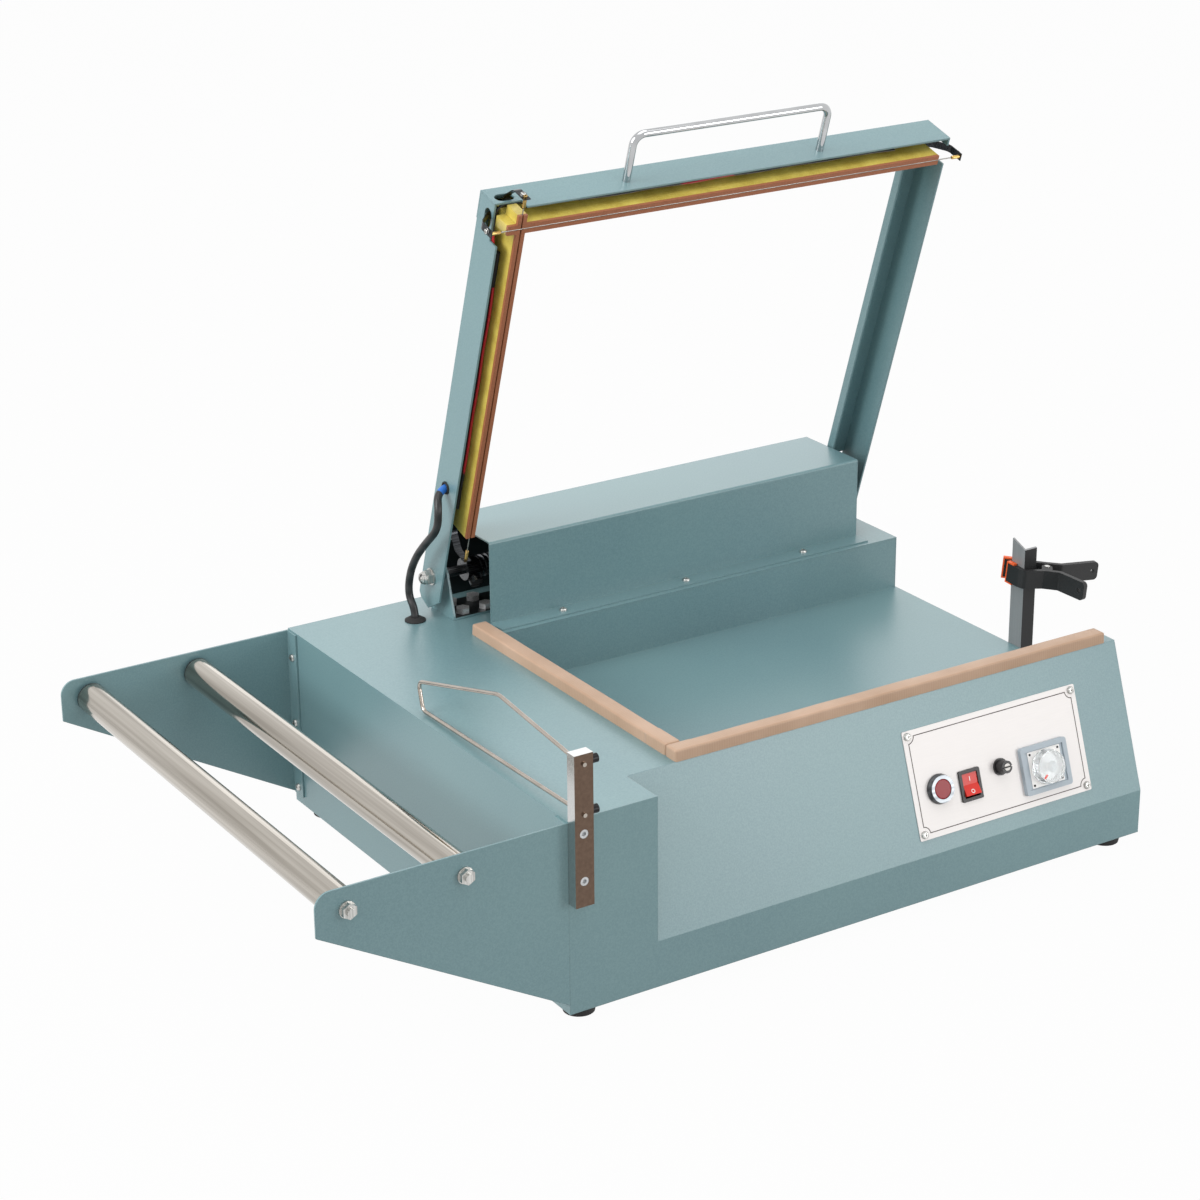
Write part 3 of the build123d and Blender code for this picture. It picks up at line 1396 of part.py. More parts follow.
# Seal bars: two insulating bars half-lapped at the corner
side_bar_span = (side_bar_x - half_bar, side_bar_x + half_bar)
front_bar_span = (front_bar_v - half_bar, front_bar_v + half_bar)
bar_span = (bar_low, web_level)
stub_x = side_bar_span[0] - bar_stub - lap_fit
stub_v = front_bar_span[1] + bar_stub
with BuildPart() as seal_bars:
    frame_block((side_bar_span[0], front_bar_end), front_bar_span, bar_span)
    frame_block((stub_x, side_bar_span[1]), front_bar_span, (bar_low, stub_level))
    lap_x = (side_bar_span[0] - lap_fit, side_bar_span[1] + lap_fit)
    frame_block(lap_x, (front_bar_span[0] - overrun, front_bar_span[1] + overrun), (bar_low - overrun, half_lap_level), Mode.SUBTRACT)
    drill(front_bar_screws, screw_hole, screw_grip + overrun)
with BuildPart() as side_seal_bar:
    frame_block(side_bar_span, (side_bar_start, front_bar_span[0] - lap_fit), bar_span)
    frame_block(side_bar_span, (side_bar_start, front_bar_span[1] + lap_fit), (bar_low, half_lap_level - lap_fit))
    frame_block(side_bar_span, (front_bar_span[1] + lap_fit, stub_v), (bar_low, stub_level))
    drill(side_bar_screws, screw_hole, screw_grip + overrun)
with BuildPart() as both_seal_bars:
    add(seal_bars.part)
    add(side_seal_bar.part)
keep(both_seal_bars, "seal_bars")

# Seal edges: paired strips under the bars with the wire groove between them
groove = bar_thickness - edge_strip * 2
edge_span = (-bar_tip_drop, bar_low)
with BuildPart() as seal_edges:
    for inner, outer in ((front_bar_span[0], front_bar_span[0] + edge_strip), (front_bar_span[1] - edge_strip, front_bar_span[1])):
        frame_block((stub_x, side_bar_x - wire_slot / 2), (inner, outer), edge_span)
        frame_block((side_bar_x + wire_slot / 2, front_bar_end), (inner, outer), edge_span)
    for inner, outer in ((side_bar_span[0], side_bar_span[0] + edge_strip), (side_bar_span[1] - edge_strip, side_bar_span[1])):
        frame_block((inner, outer), (side_bar_start, front_bar_span[0] - lap_fit), edge_span)
        frame_block((inner, outer), (front_bar_span[1] + lap_fit, stub_v), edge_span)
keep(seal_edges, "seal_edges")

# Seal wires: round resistance wires, the front one passing under the side one
with BuildPart() as seal_wires:
    wire_radius = wire_diameter / 2
    front_wire_start = on_frame(side_bar_span[0] - wire_reach, front_bar_v, front_wire_level)
    rod(front_wire_start, right, wire_radius, front_bar_end - side_bar_span[0] + wire_reach * 2)
    side_wire_start = on_frame(side_bar_x, side_bar_start - wire_reach, side_wire_level)
    rod(side_wire_start, frame_out, wire_radius, front_bar_span[1] - side_bar_start + wire_reach * 2)
keep(seal_wires, "seal_wires")


# Tension levers: bent spring strips that keep the seal wires taut
def lever(root, outward, wire_level):
    """A lever from its root on a bar's end, with its tip screw and wire ferrule."""
    plane = Plane(origin=root, x_dir=outward, z_dir=Vector(*outward).cross(frame_up))
    flat = lever_gap + lever_strip / 2
    points = [
        (flat, lever_root_top),
        (flat, lever_root_bottom),
        (lever_knee, 0),
        (lever_shelf, 0),
        (lever_reach, -lever_drop),
        (lever_reach, lever_tip_level),
    ]
    strip(plane, points, [lever_small_bend, lever_small_bend, lever_large_bend, lever_large_bend], lever_strip, lever_width)
    tip_face = plane.from_local_coords(Vector(lever_reach + lever_strip / 2, tip_screw_level, 0))
    rod(tip_face, outward, screw_head_diameter * lever_head_share / 2, screw_head_height * lever_head_share)
    wire_face = plane.from_local_coords(Vector(lever_reach - lever_strip / 2, wire_level, 0))
    rod(wire_face, outward * -1, ferrule_diameter / 2, ferrule_length)
    root_face = plane.from_local_coords(Vector(flat + lever_strip / 2, (lever_root_top + lever_root_bottom) / 2, 0))
    rod(root_face, outward, screw_head_diameter * lever_head_share / 2, screw_head_height * lever_head_share)


with BuildPart() as lever_front_left:
    lever(on_frame(side_bar_span[0], front_bar_v, 0), left, front_wire_level)
keep(lever_front_left, "tension_lever_front_left")

with BuildPart() as lever_front_right:
    lever(on_frame(front_bar_end, front_bar_v, 0), right, front_wire_level)
keep(lever_front_right, "tension_lever_front_right")

with BuildPart() as lever_left_front:
    lever(on_frame(side_bar_x, front_bar_span[1], 0), frame_out, side_wire_level)
keep(lever_left_front, "tension_lever_left_front")

with BuildPart() as lever_left_rear:
    lever(on_frame(side_bar_x, side_bar_start, 0), frame_out * -1, side_wire_level)
keep(lever_left_rear, "tension_lever_left_rear")

# Hinge shaft with a spring collar and its set bolt in each bracket
with BuildPart() as hinge_shaft:
    shaft_start = arm_left - shaft_overhang
    rod(on_frame(shaft_start, 0, 0), right, shaft_radius, frame_right + shaft_overhang - shaft_start)
    for side in (-1, 1):
        near = frame_middle + side * (frame_middle - bracket_left - spring_from_bracket + spring_wire / 2 + touch_gap)
        rod(on_frame(near, 0, 0), right * side, collar_diameter / 2, collar_width)
        bolt_x = near + side * collar_width / 2
        bolt_out = frame_up * math.cos(collar_bolt_turn) + frame_out * math.sin(collar_bolt_turn)
        rod(on_frame(bolt_x, 0, 0), bolt_out, collar_screw_diameter / 2, collar_screw_reach)
        rod(on_frame(bolt_x, 0, 0) + bolt_out * collar_screw_reach, bolt_out, collar_head_diameter / 2, collar_head_height)
keep(hinge_shaft, "hinge_shaft")

# Frame fasteners: washers and domed nuts on the shaft, screws of the handle and bars
with BuildPart() as frame_fasteners:
    for x, out in ((arm_left, left), (frame_right, right)):
        with BuildSketch(Plane(origin=on_frame(x, 0, 0), z_dir=out)):
            Circle(shaft_washer_diameter / 2)
            Circle(shaft_hole, mode=Mode.SUBTRACT)
        extrude(amount=shaft_washer_height)
        nut_seat = on_frame(x, 0, 0) + out * shaft_washer_height
        with BuildSketch(Plane(origin=nut_seat, z_dir=out)):
            RegularPolygon(radius=acorn_across / 2, side_count=6, major_radius=False)
        extrude(amount=acorn_height)
        turned(
            Plane(origin=nut_seat + out * acorn_height, x_dir=frame_up, z_dir=out),
            [
                (0, 0),
                (acorn_across / 2 - seat_fit, 0),
                (acorn_across / 2 - seat_fit, acorn_dome / 4),
                (acorn_across * acorn_dome_shares[0], acorn_dome * 3 / 4),
                (acorn_across * acorn_dome_shares[1], acorn_dome),
                (0, acorn_dome),
            ],
        )
        rod(on_frame(x, 0, 0), out, shaft_hole, shaft_overhang + touch_gap, Mode.SUBTRACT)
    for point, out in handle_screws + front_bar_screws + side_bar_screws:
        pan_head(point, out, screw_grip)
keep(frame_fasteners, "frame_fasteners")

# Leads from the cable hole to the levers, lying in the channels
lead_x = arm_left + arm_sheet + lead_gap + lead_diameter / 2
lead_v = flange_inside - lead_gap - lead_diameter / 2
lead_high = stub_level + lead_gap + lead_diameter / 2 + lead_diameter / 2
with BuildPart() as arm_leads:
    red_points = [
        (lead_x, cable_hole_reach + lead_diameter, cable_hole_level),
        (lead_x, cable_hole_reach + lead_diameter * 8, lead_level),
        (lead_x, channel_start - lead_diameter * 7, lead_level),
        (lead_x, channel_start, lead_high),
        (lead_x, lead_v, lead_high),
        (arm_left + channel_width + lead_diameter, lead_v, lead_high),
        (arm_left + channel_width + lead_diameter * 8, lead_v, lead_level),
        (front_bar_end - lead_end_margin, lead_v, lead_level),
    ]
    tube([on_frame(*point) for point in red_points], [lead_bend] * (len(red_points) - 2), lead_diameter / 2)
    black_points = [
        (lead_x, cable_hole_reach - lead_diameter, cable_hole_level),
        (lead_x, cable_hole_reach - lead_diameter * 5, lead_level),
        (lead_x, side_bar_start + lead_diameter, lead_level),
    ]
    tube([on_frame(*point) for point in black_points], [lead_bend], lead_diameter / 2)
keep(arm_leads, "arm_leads")

# Cable from the grommet up to the hole in the left arm, hanging in a loose S
# Its points are measured from the hinge axis at the left arm's outer face
cable_points = [
    (-0.3, -35.7, 106.8),
    (-11.5, -38.5, 104.5),
    (-17.0, -49.5, 91.5),
    (-16.5, -46, 68.5),
    (-18.0, -24.5, 48.5),
    (-20.0, -5, 27.5),
    (-21.5, 7, 5.0),
    (-22.0, 10.5, -18.5),
    (-20.5, 0, -32.5),
    (-20.5, 0, -44.0),
]
with BuildPart() as frame_cable:
    corners = [world(arm_left + dx, hinge_from_front + dy, hinge_level + dz) for dx, dy, dz in cable_points]
    runs = [(b - a) for a, b in zip(corners, corners[1:])]
    cable_radii = []
    for before, after in zip(runs, runs[1:]):
        half_turn = math.radians(before.get_angle(after)) / 2
        cable_radii.append(cable_bend_share * min(before.length, after.length) / math.tan(half_turn))
    print("cable radii", [round(r, 1) for r in cable_radii])
    cable_length = tube(corners, cable_radii, cable_diameter / 2)
    section = math.pi * (cable_diameter / 2) ** 2
    print("cable length", round(cable_length, 1), "volume ratio", frame_cable.part.volume / (section * cable_length))
keep(frame_cable, "frame_cable")
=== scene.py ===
import math

import bmesh
import bpy
from mathutils import Matrix, Vector, noise


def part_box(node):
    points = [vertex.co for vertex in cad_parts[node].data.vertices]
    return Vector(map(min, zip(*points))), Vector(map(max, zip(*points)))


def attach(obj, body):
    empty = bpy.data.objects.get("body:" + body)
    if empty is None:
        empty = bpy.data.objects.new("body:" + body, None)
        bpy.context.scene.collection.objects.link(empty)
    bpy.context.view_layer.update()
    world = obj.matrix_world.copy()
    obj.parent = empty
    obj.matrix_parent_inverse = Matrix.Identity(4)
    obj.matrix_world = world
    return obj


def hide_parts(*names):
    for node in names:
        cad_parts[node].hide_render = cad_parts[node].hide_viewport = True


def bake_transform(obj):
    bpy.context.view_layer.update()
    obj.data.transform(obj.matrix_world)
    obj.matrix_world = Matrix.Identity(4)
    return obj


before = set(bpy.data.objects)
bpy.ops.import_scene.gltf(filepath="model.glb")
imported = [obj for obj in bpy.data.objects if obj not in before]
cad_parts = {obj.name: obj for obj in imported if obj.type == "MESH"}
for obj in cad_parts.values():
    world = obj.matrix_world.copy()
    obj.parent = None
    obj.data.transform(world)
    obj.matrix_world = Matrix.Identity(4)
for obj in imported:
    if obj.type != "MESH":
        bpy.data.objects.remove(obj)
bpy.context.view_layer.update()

# Cabinet corner: the folded steel cabinet's front left bottom corner, from which every place below
# is given in millimetres, x to the right, y to the back and z up.
cabinet_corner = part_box("cabinet_shell")[0]


def at(x, y, z):
    """A place on the machine, in the model's metres."""
    return cabinet_corner + Vector((x, y, z)) / 1000


# Hinge line: the sealing frame's shaft runs across the back of the cabinet, and the frame stands open at
# this angle.
frame_middle, hinge_back, hinge_level = 410, 488, 237.5
frame_open = math.radians(72)

# Camera: stands 2.7 m off the left front corner and 1.3 m above it, with a long lens, where the
# photograph was taken from.
camera = bpy.data.objects.new("camera", bpy.data.cameras.new("camera"))
camera.data.sensor_fit = "HORIZONTAL"
camera.data.sensor_width = 36
camera.data.lens = 88.45
camera.data.clip_end = 60
camera.location = at(-1221.5, -1990.7, 1330.1)
camera.rotation_euler = [math.radians(turn) for turn in (68.3483, 0.4795, -32.4629)]
bpy.context.scene.collection.objects.link(camera)
bpy.context.scene.camera = camera
bpy.context.scene.view_settings.view_transform = "Standard"


def linear(colour):
    """The shader's colour for an sRGB hex value."""
    parts = [int(colour[i:i + 2], 16) / 255 for i in (1, 3, 5)]
    return [c / 12.92 if c <= 0.04045 else ((c + 0.055) / 1.055) ** 2.4 for c in parts] + [1]


def wire(tree, made, inputs):
    """Sets a node's inputs: a socket is linked, and anything else is the input's value."""
    for name, value in inputs.items():
        if isinstance(value, bpy.types.NodeSocket):
            tree.links.new(value, made.inputs[name])
        else:
            made.inputs[name].default_value = value
    return made


def node(tree, kind, inputs=None, **settings):
    """Adds a shader node with its settings and links."""
    made = tree.nodes.new("ShaderNode" + kind)
    for name, value in settings.items():
        setattr(made, name, value)
    return wire(tree, made, inputs or {})


def mixed(tree, share, first, second):
    """A colour from first to second by a share; each is an sRGB hex value or another colour's socket."""
    first, second = (linear(end) if isinstance(end, str) else end for end in (first, second))
    return node(tree, "Mix", {0: share, 6: first, 7: second}, data_type="RGBA").outputs[2]


def looked_at(tree):
    """A share that is 1 for what is seen, also in a gloss or through clear plastic, and 0 for light cast."""
    seen = node(tree, "LightPath").outputs
    gloss = node(tree, "Math", {0: seen["Is Camera Ray"], 1: seen["Is Glossy Ray"]}, operation="ADD")
    through = {0: gloss.outputs[0], 1: seen["Is Transmission Ray"]}
    return node(tree, "Math", through, operation="ADD", use_clamp=True).outputs[0]


# Studio: a pale table top under the machine and a white surround. The floor keeps the shadow and
# shows white to the eye and in the metal. A soft lamp hangs overhead and one stands to the left. Two
# more, at the right front and the right back, give the slope and the flat tops their sheen.
floor_colour = "#A6A6A4"
floor_mesh = bpy.data.meshes.new("studio_floor")
floor_shape = bmesh.new()
bmesh.ops.create_grid(floor_shape, x_segments=4, y_segments=4, size=20)
floor_shape.to_mesh(floor_mesh)
floor_shape.free()
floor = bpy.data.objects.new("studio_floor", floor_mesh)
bpy.context.scene.collection.objects.link(floor)
floor_paper = bpy.data.materials.new("studio_paper")
floor_paper.use_nodes = True
paper = floor_paper.node_tree
paper.nodes.clear()
floor_glow = 0.97
glow_share = node(paper, "Math", {0: looked_at(paper), 1: floor_glow}, operation="MULTIPLY")
matt = node(paper, "BsdfDiffuse", {"Color": linear(floor_colour)})
glow = node(paper, "Emission", {"Color": (1, 1, 1, 1), "Strength": 1.0})
both = node(paper, "MixShader", {0: glow_share.outputs[0], 1: matt.outputs[0], 2: glow.outputs[0]})
node(paper, "OutputMaterial", {"Surface": both.outputs[0]})
floor_mesh.materials.append(floor_paper)

world = bpy.data.worlds.new("studio_surround")
bpy.context.scene.world = world
world.use_nodes = True
sky = world.node_tree
sky.nodes.clear()
surround_light, surround_seen = 0.82, 1.0
sky_level = node(
    sky, "MapRange", {"Value": looked_at(sky), "To Min": surround_light, "To Max": surround_seen}
)
sky_light = node(sky, "Background", {"Color": (1, 1, 1, 1), "Strength": sky_level.outputs[0]})
node(sky, "OutputWorld", {"Surface": sky_light.outputs[0]})

for lamp_name, lamp_place, lamp_width, lamp_watts in (
    ("overhead_softbox", (0.1, -0.3, 2.4), 1.8, 16),
    ("left_softbox", (-2.3, 0.2, 1.5), 1.4, 44),
    ("front_sheen_lamp", (1.6, -2.6, 0.7), 1.0, 20),
    ("back_sheen_lamp", (1.9, 2.7, 1.7), 2.0, 8),
):
    lamp = bpy.data.objects.new(lamp_name, bpy.data.lights.new(lamp_name, "AREA"))
    lamp.data.shape = "SQUARE"
    lamp.data.size = lamp_width
    lamp.data.energy = lamp_watts
    lamp.location = lamp_place
    lamp.rotation_euler = (Vector((0, 0, 0.2)) - lamp.location).to_track_quat("-Z", "Y").to_euler()
    bpy.context.scene.collection.objects.link(lamp)


def finish(name):
    """Starts a material: returns it with its tree, its shader and the piece's own coordinates."""
    material = bpy.data.materials.new(name)
    material.use_nodes = True
    tree = material.node_tree
    tree.nodes.clear()
    shader = node(tree, "BsdfPrincipled")
    node(tree, "OutputMaterial", {"Surface": shader.outputs["BSDF"]})
    return material, tree, shader, node(tree, "TexCoord").outputs["Object"]


def moulded(name, colour, deep, grain, roughness, depth, sheen=0.0):
    """A moulded plastic or rubber: a fine grain from the mould, grain in metres, over faint large clouds."""
    material, tree, shader, place = finish(name)
    clouds = node(tree, "TexNoise", {"Vector": place, "Scale": 1 / 0.03, "Detail": 4.0})
    tone = mixed(tree, clouds.outputs[0], deep, colour)
    pores = node(tree, "TexNoise", {"Vector": place, "Scale": 1 / grain, "Detail": 2.0})
    worn = node(
        tree, "MapRange",
        {"Value": clouds.outputs[0], "To Min": roughness - 0.08, "To Max": roughness + 0.08},
    )
    bump = node(tree, "Bump", {"Height": pores.outputs[0], "Strength": 0.4, "Distance": depth})
    wire(tree, shader, {
        "Base Color": tone, "Roughness": worn.outputs[0], "Normal": bump.outputs[0], "Sheen Weight": sheen,
    })
    return material


def drawn_metal(name, colour, shade, roughness, streak, lengthwise):
    """A metal with fine drawing or polishing lines, streak metres apart, along the axis lengthwise. Coarse
    streaks, as on the rollers, are also painted reflection bands.
    """
    material, tree, shader, place = finish(name)
    squeeze = [1 / streak] * 3
    squeeze[lengthwise] = 1 / (streak * 80)
    lines = node(tree, "Mapping", {"Vector": place, "Scale": squeeze})
    lines_and_painted_bands = node(tree, "TexNoise", {"Vector": lines.outputs[0], "Scale": 1.0, "Detail": 3.0})
    spread = node(tree, "MapRange", {"Value": lines_and_painted_bands.outputs[0], "From Min": 0.3, "From Max": 0.7})
    tone = mixed(tree, spread.outputs[0], shade, colour)
    worn = node(
        tree, "MapRange",
        {"Value": lines_and_painted_bands.outputs[0], "To Min": roughness * 0.6, "To Max": roughness * 1.4},
    )
    bump = node(tree, "Bump", {"Height": lines_and_painted_bands.outputs[0], "Strength": 0.1, "Distance": streak * 0.1})
    wire(tree, shader, {
        "Base Color": tone, "Metallic": 1.0, "Roughness": worn.outputs[0], "Normal": bump.outputs[0],
    })
    return material


def plated_rod(name, colour, shade, roughness):
    """A plated bent rod: an even bright coat that is a little duller in broad patches along it."""
    material, tree, shader, place = finish(name)
    patches = node(tree, "TexNoise", {"Vector": place, "Scale": 1 / 0.025, "Detail": 2.0})
    tone = mixed(tree, patches.outputs[0], shade, colour)
    worn = node(
        tree, "MapRange",
        {"Value": patches.outputs[0], "To Min": roughness * 0.7, "To Max": roughness * 1.3},
    )
    wire(tree, shader, {"Base Color": tone, "Metallic": 1.0, "Roughness": worn.outputs[0]})
    return material


def facing_in(tree, place, middle):
    """A share that is 1 on faces that look towards the middle of a hollow piece, and 0 on its outside."""
    to_middle = node(tree, "VectorMath", {0: middle, 1: place}, operation="SUBTRACT")
    normal = node(tree, "TexCoord").outputs["Normal"]
    inward = node(tree, "VectorMath", {0: normal, 1: to_middle.outputs[0]}, operation="DOT_PRODUCT")
    return node(
        tree, "MapRange", {"Value": inward.outputs["Value"], "From Min": 0.001, "From Max": 0.003}
    ).outputs[0]


def give(material, *nodes):
    """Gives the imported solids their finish."""
    for name in nodes:
        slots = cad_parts[name].data.materials
        for index in range(len(slots)):
            slots[index] = material


# Frame cable: a black taped cable, 8 mm, that comes up through the table's rubber grommet and goes into
# the left arm of the sealing frame in a slack S, so the frame can swing. Its blue core shows at the hole.
cable_route = [
    (139.2, 452.3, 344.3), (128, 449.5, 342), (122.5, 438.5, 329), (123, 442, 306), (121.5, 463.5, 286),
    (119.5, 483, 265), (118, 495, 242.5), (117.5, 498.5, 219), (119, 488, 205), (119, 488, 193.5),
]
cable_width = 0.008
route_curve = bpy.data.curves.new("cable_route", "CURVE")
route_curve.dimensions = "3D"
route_curve.resolution_u = 12
route_line = route_curve.splines.new("NURBS")
route_line.points.add(len(cable_route) - 1)
for control, (x, y, z) in zip(route_line.points, reversed(cable_route)):
    control.co = (*at(x, y, z), 1)
route_line.order_u = 3
route_line.use_endpoint_u = True
cable_line = bpy.data.objects.new("cable_route", route_curve)
bpy.context.scene.collection.objects.link(cable_line)
bpy.context.view_layer.update()
line_mesh = bpy.data.meshes.new_from_object(cable_line)
route_curve.bevel_depth = cable_width / 2
route_curve.bevel_resolution = 8
route_curve.use_fill_caps = True
bpy.context.view_layer.update()
sheath_mesh = bpy.data.meshes.new_from_object(cable_line)
bpy.data.objects.remove(cable_line)
for face in sheath_mesh.polygons:
    face.use_smooth = True
sheath = bpy.data.objects.new("frame_cable_sheath", sheath_mesh)
bpy.context.scene.collection.objects.link(sheath)
cable_sheath, tree, shader, place = finish("taped_cable_sheath")
wraps = node(
    tree, "TexWave", {"Vector": place, "Scale": 1 / 0.05, "Distortion": 6.0, "Detail": 2.0},
    bands_direction="Z",
)
tape_black = mixed(tree, wraps.outputs["Fac"], "#161617", "#2D2C2D")
to_hole = node(tree, "VectorMath", {0: place, 1: at(137, 452, 344)}, operation="DISTANCE")
bare = node(tree, "MapRange", {"Value": to_hole.outputs["Value"], "From Min": 0.0095, "From Max": 0.0085})
core_blue = mixed(tree, bare.outputs[0], tape_black, "#2E6FC4")
wrap_bump = node(tree, "Bump", {"Height": wraps.outputs["Fac"], "Strength": 0.5, "Distance": 0.0006})
wire(tree, shader, {"Base Color": core_blue, "Roughness": 0.38, "Normal": wrap_bump.outputs[0]})
sheath_mesh.materials.clear()
sheath_mesh.materials.append(cable_sheath)
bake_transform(sheath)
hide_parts("frame_cable")


def piece(name, shape, material, body, place=None, crease=35):
    """Makes a built shape into an object on its body; edges sharper than crease degrees stay sharp."""
    bmesh.ops.remove_doubles(shape, verts=shape.verts, dist=1e-7)
    bmesh.ops.recalc_face_normals(shape, faces=shape.faces)
    if place is not None:
        bmesh.ops.transform(shape, matrix=place, verts=shape.verts)
    for edge in shape.edges:
        edge.smooth = len(edge.link_faces) == 2 and edge.calc_face_angle() < math.radians(crease)
    for face in shape.faces:
        face.smooth = True
    mesh = bpy.data.meshes.new(name)
    shape.to_mesh(mesh)
    shape.free()
    mesh.materials.append(material)
    made = bpy.data.objects.new(name, mesh)
    bpy.context.scene.collection.objects.link(made)
    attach(made, body)
    return made


def ring(shape, around, profile, steps=32):
    """Spins a profile of (radius, height) in metres round the axis of a placement matrix."""
    corners = [shape.verts.new(around @ Vector((radius, 0, height))) for radius, height in profile]
    edges = [shape.edges.new(pair) for pair in zip(corners, corners[1:])]
    axis = around.to_3x3() @ Vector((0, 0, 1))
    bmesh.ops.spin(
        shape, geom=corners + edges, cent=around.translation, axis=axis,
        angle=math.tau, steps=steps, use_merge=True,
    )


def block(shape, place, low, high):
    """A block between two corners, in metres, in the coordinates of a placement matrix."""
    low, high = Vector(low), Vector(high)
    size = Matrix.Diagonal((*(high - low), 1))
    made = bmesh.ops.create_cube(shape, size=1, matrix=place @ Matrix.Translation((low + high) / 2) @ size)
    return made["verts"]


def cross_head(shape, place, radius, height):
    """A domed pan head with a cross recess, standing on the plane of a placement matrix."""
    land, arm, half = radius * 0.62, radius * 0.5, radius * 0.13
    steps = 24
    rings = []
    for reach, level in (
        (radius, 0), (radius, height * 0.35), (radius * 0.88, height * 0.78), (land, height)
    ):
        rings.append([
            shape.verts.new(place @ Vector((
                reach * math.cos(math.tau * step / steps), reach * math.sin(math.tau * step / steps), level,
            )))
            for step in range(steps)
        ])
    for lower, upper in zip(rings, rings[1:]):
        for step in range(steps):
            after = (step + 1) % steps
            shape.faces.new((lower[step], lower[after], upper[after], upper[step]))
    cross = [
        (arm, -half), (arm, half), (half, half), (half, arm), (-half, arm), (-half, half),
        (-arm, half), (-arm, -half), (-half, -half), (-half, -arm), (half, -arm), (half, -half),
    ]
    rim = [shape.verts.new(place @ Vector((x, y, height))) for x, y in cross]
    pit = [shape.verts.new(place @ Vector((x * 0.8, y * 0.8, height * 0.35))) for x, y in cross]
    rim_edges = [shape.edges.new((a, b)) for a, b in zip(rim, rim[1:] + rim[:1])]
    top_edges = [shape.edges.get((a, b)) for a, b in zip(rings[-1], rings[-1][1:] + rings[-1][:1])]
    bmesh.ops.triangle_fill(shape, edges=rim_edges + top_edges, use_beauty=True)
    for index in range(len(cross)):
        after = (index + 1) % len(cross)
        shape.faces.new((rim[index], rim[after], pit[after], pit[index]))
    shape.faces.new(pit)


# Painted sheet steel: the cabinet, rack plates, spring cover and sealing frame are folded from 1.5 to
# 2 mm steel, with softened folds, and powder coated in a blue-grey satin paint with a fine orange peel.
# On the hinge brackets and the spring cover, the inner faces round the springs are painted black as painted
# shade.
paint_grain = 0.0016


def painted(name, shaded_hollow_middle=None):
    """The satin paint; the second argument, when given, is the middle of a hollow whose inner faces are
    painted black as painted shade.
    """
    material, tree, shader, place = finish(name)
    clouds = node(tree, "TexNoise", {"Vector": place, "Scale": 1 / 0.18, "Detail": 3.0})
    cloud_share = node(tree, "MapRange", {"Value": clouds.outputs[0], "From Min": 0.3, "From Max": 0.7})
    body_tone = mixed(tree, cloud_share.outputs[0], "#608187", "#67888C")
    peel = node(
        tree, "TexNoise", {"Vector": place, "Scale": 1 / paint_grain, "Detail": 2.0, "Roughness": 0.6}
    )
    peel_share = node(
        tree, "MapRange", {"Value": peel.outputs[0], "From Min": 0.35, "From Max": 0.65, "To Max": 0.35}
    )
    tone = mixed(tree, peel_share.outputs[0], body_tone, "#7E9CA0")
    coat = 0.5
    if shaded_hollow_middle is not None:
        # Painted shade: faces that look into the hollow are painted near black, under a thinner coat.
        inside = facing_in(tree, place, shaded_hollow_middle)
        tone = mixed(tree, inside, tone, "#15191A")
        coat = node(tree, "MapRange", {"Value": inside, "To Min": 0.5, "To Max": 0.1}).outputs[0]
    folded = node(tree, "Bevel", {"Radius": 0.0012}, samples=4)
    peel_bump = node(tree, "Bump", {
        "Height": peel.outputs[0], "Strength": 0.35, "Distance": paint_grain / 8, "Normal": folded.outputs[0],
    })
    gloss = node(tree, "MapRange", {"Value": clouds.outputs[0], "To Min": 0.33, "To Max": 0.42})
    wire(tree, shader, {
        "Base Color": tone, "Roughness": gloss.outputs[0], "IOR": 1.5, "Normal": peel_bump.outputs[0],
        "Coat Weight": coat, "Coat Roughness": 0.32,
    })
    return material


give(
    painted("powder_coated_steel"), "cabinet_shell", "work_tray", "rack_plate_front", "rack_plate_rear",
    "arm_left", "arm_right", "bar_front",
)
hinge_middle = at(frame_middle, hinge_back, hinge_level)
give(painted("powder_coated_bracket", hinge_middle), "hinge_brackets")
cover_hollow_level = 193
cover_middle = at(frame_middle, hinge_back, cover_hollow_level)
give(painted("powder_coated_cover", cover_middle), "spring_cover")

# Bottom of the cabinet: a bright zinc-plated plate, four moulded rubber feet and a nylon gland for the
# mains lead at the back.
zinc_plate = drawn_metal("zinc_plated_sheet", "#B4B8BB", "#8F9396", 0.35, 0.0012, 0)
give(zinc_plate, "bottom_plate")
foot_rubber = moulded("moulded_rubber", "#262626", "#161616", 0.0008, 0.8, 0.0002)
give(foot_rubber, "rubber_feet", "table_grommet")
nylon = moulded("black_nylon", "#1F1F20", "#111112", 0.0009, 0.5, 0.0001)
give(nylon, "mains_gland")

# Hidden parts: a transformer with a laminated core, a terminal block and a relay in an amber case inside
# the cabinet, brass bushes in the hinge brackets, and aluminium rails under the pads.
core_iron = drawn_metal("laminated_core", "#7C7A76", "#3C3B39", 0.6, 0.0005, 1)
give(core_iron, "transformer")
give(moulded("terminal_nylon", "#E6E1D4", "#D6D0C0", 0.001, 0.5, 0.0001), "terminal_block")
give(moulded("amber_polycarbonate", "#925E2E", "#7C4C22", 0.002, 0.25, 0.00005), "relay")
give(drawn_metal("sintered_brass", "#C2A264", "#9B7C43", 0.35, 0.0006, 0), "hinge_bushes")
give(drawn_metal("mill_aluminium", "#BFC1C3", "#9FA1A3", 0.4, 0.001, 1), "pad_rails")

# Hole grommet: a black rubber ring round the hole in the left arm where the cable goes in.
hole_ring = bmesh.new()
ring(
    hole_ring, Matrix.Translation(at(139.4, 452.3, 344.3)) @ Matrix.Rotation(math.radians(-90), 4, "Y"),
    [(0.0046, 0), (0.0046, 0.0012), (0.0055, 0.0018), (0.0066, 0.0012), (0.0068, 0), (0.0046, 0)],
)
piece("arm_hole_grommet", hole_ring, foot_rubber, "sealing_frame")

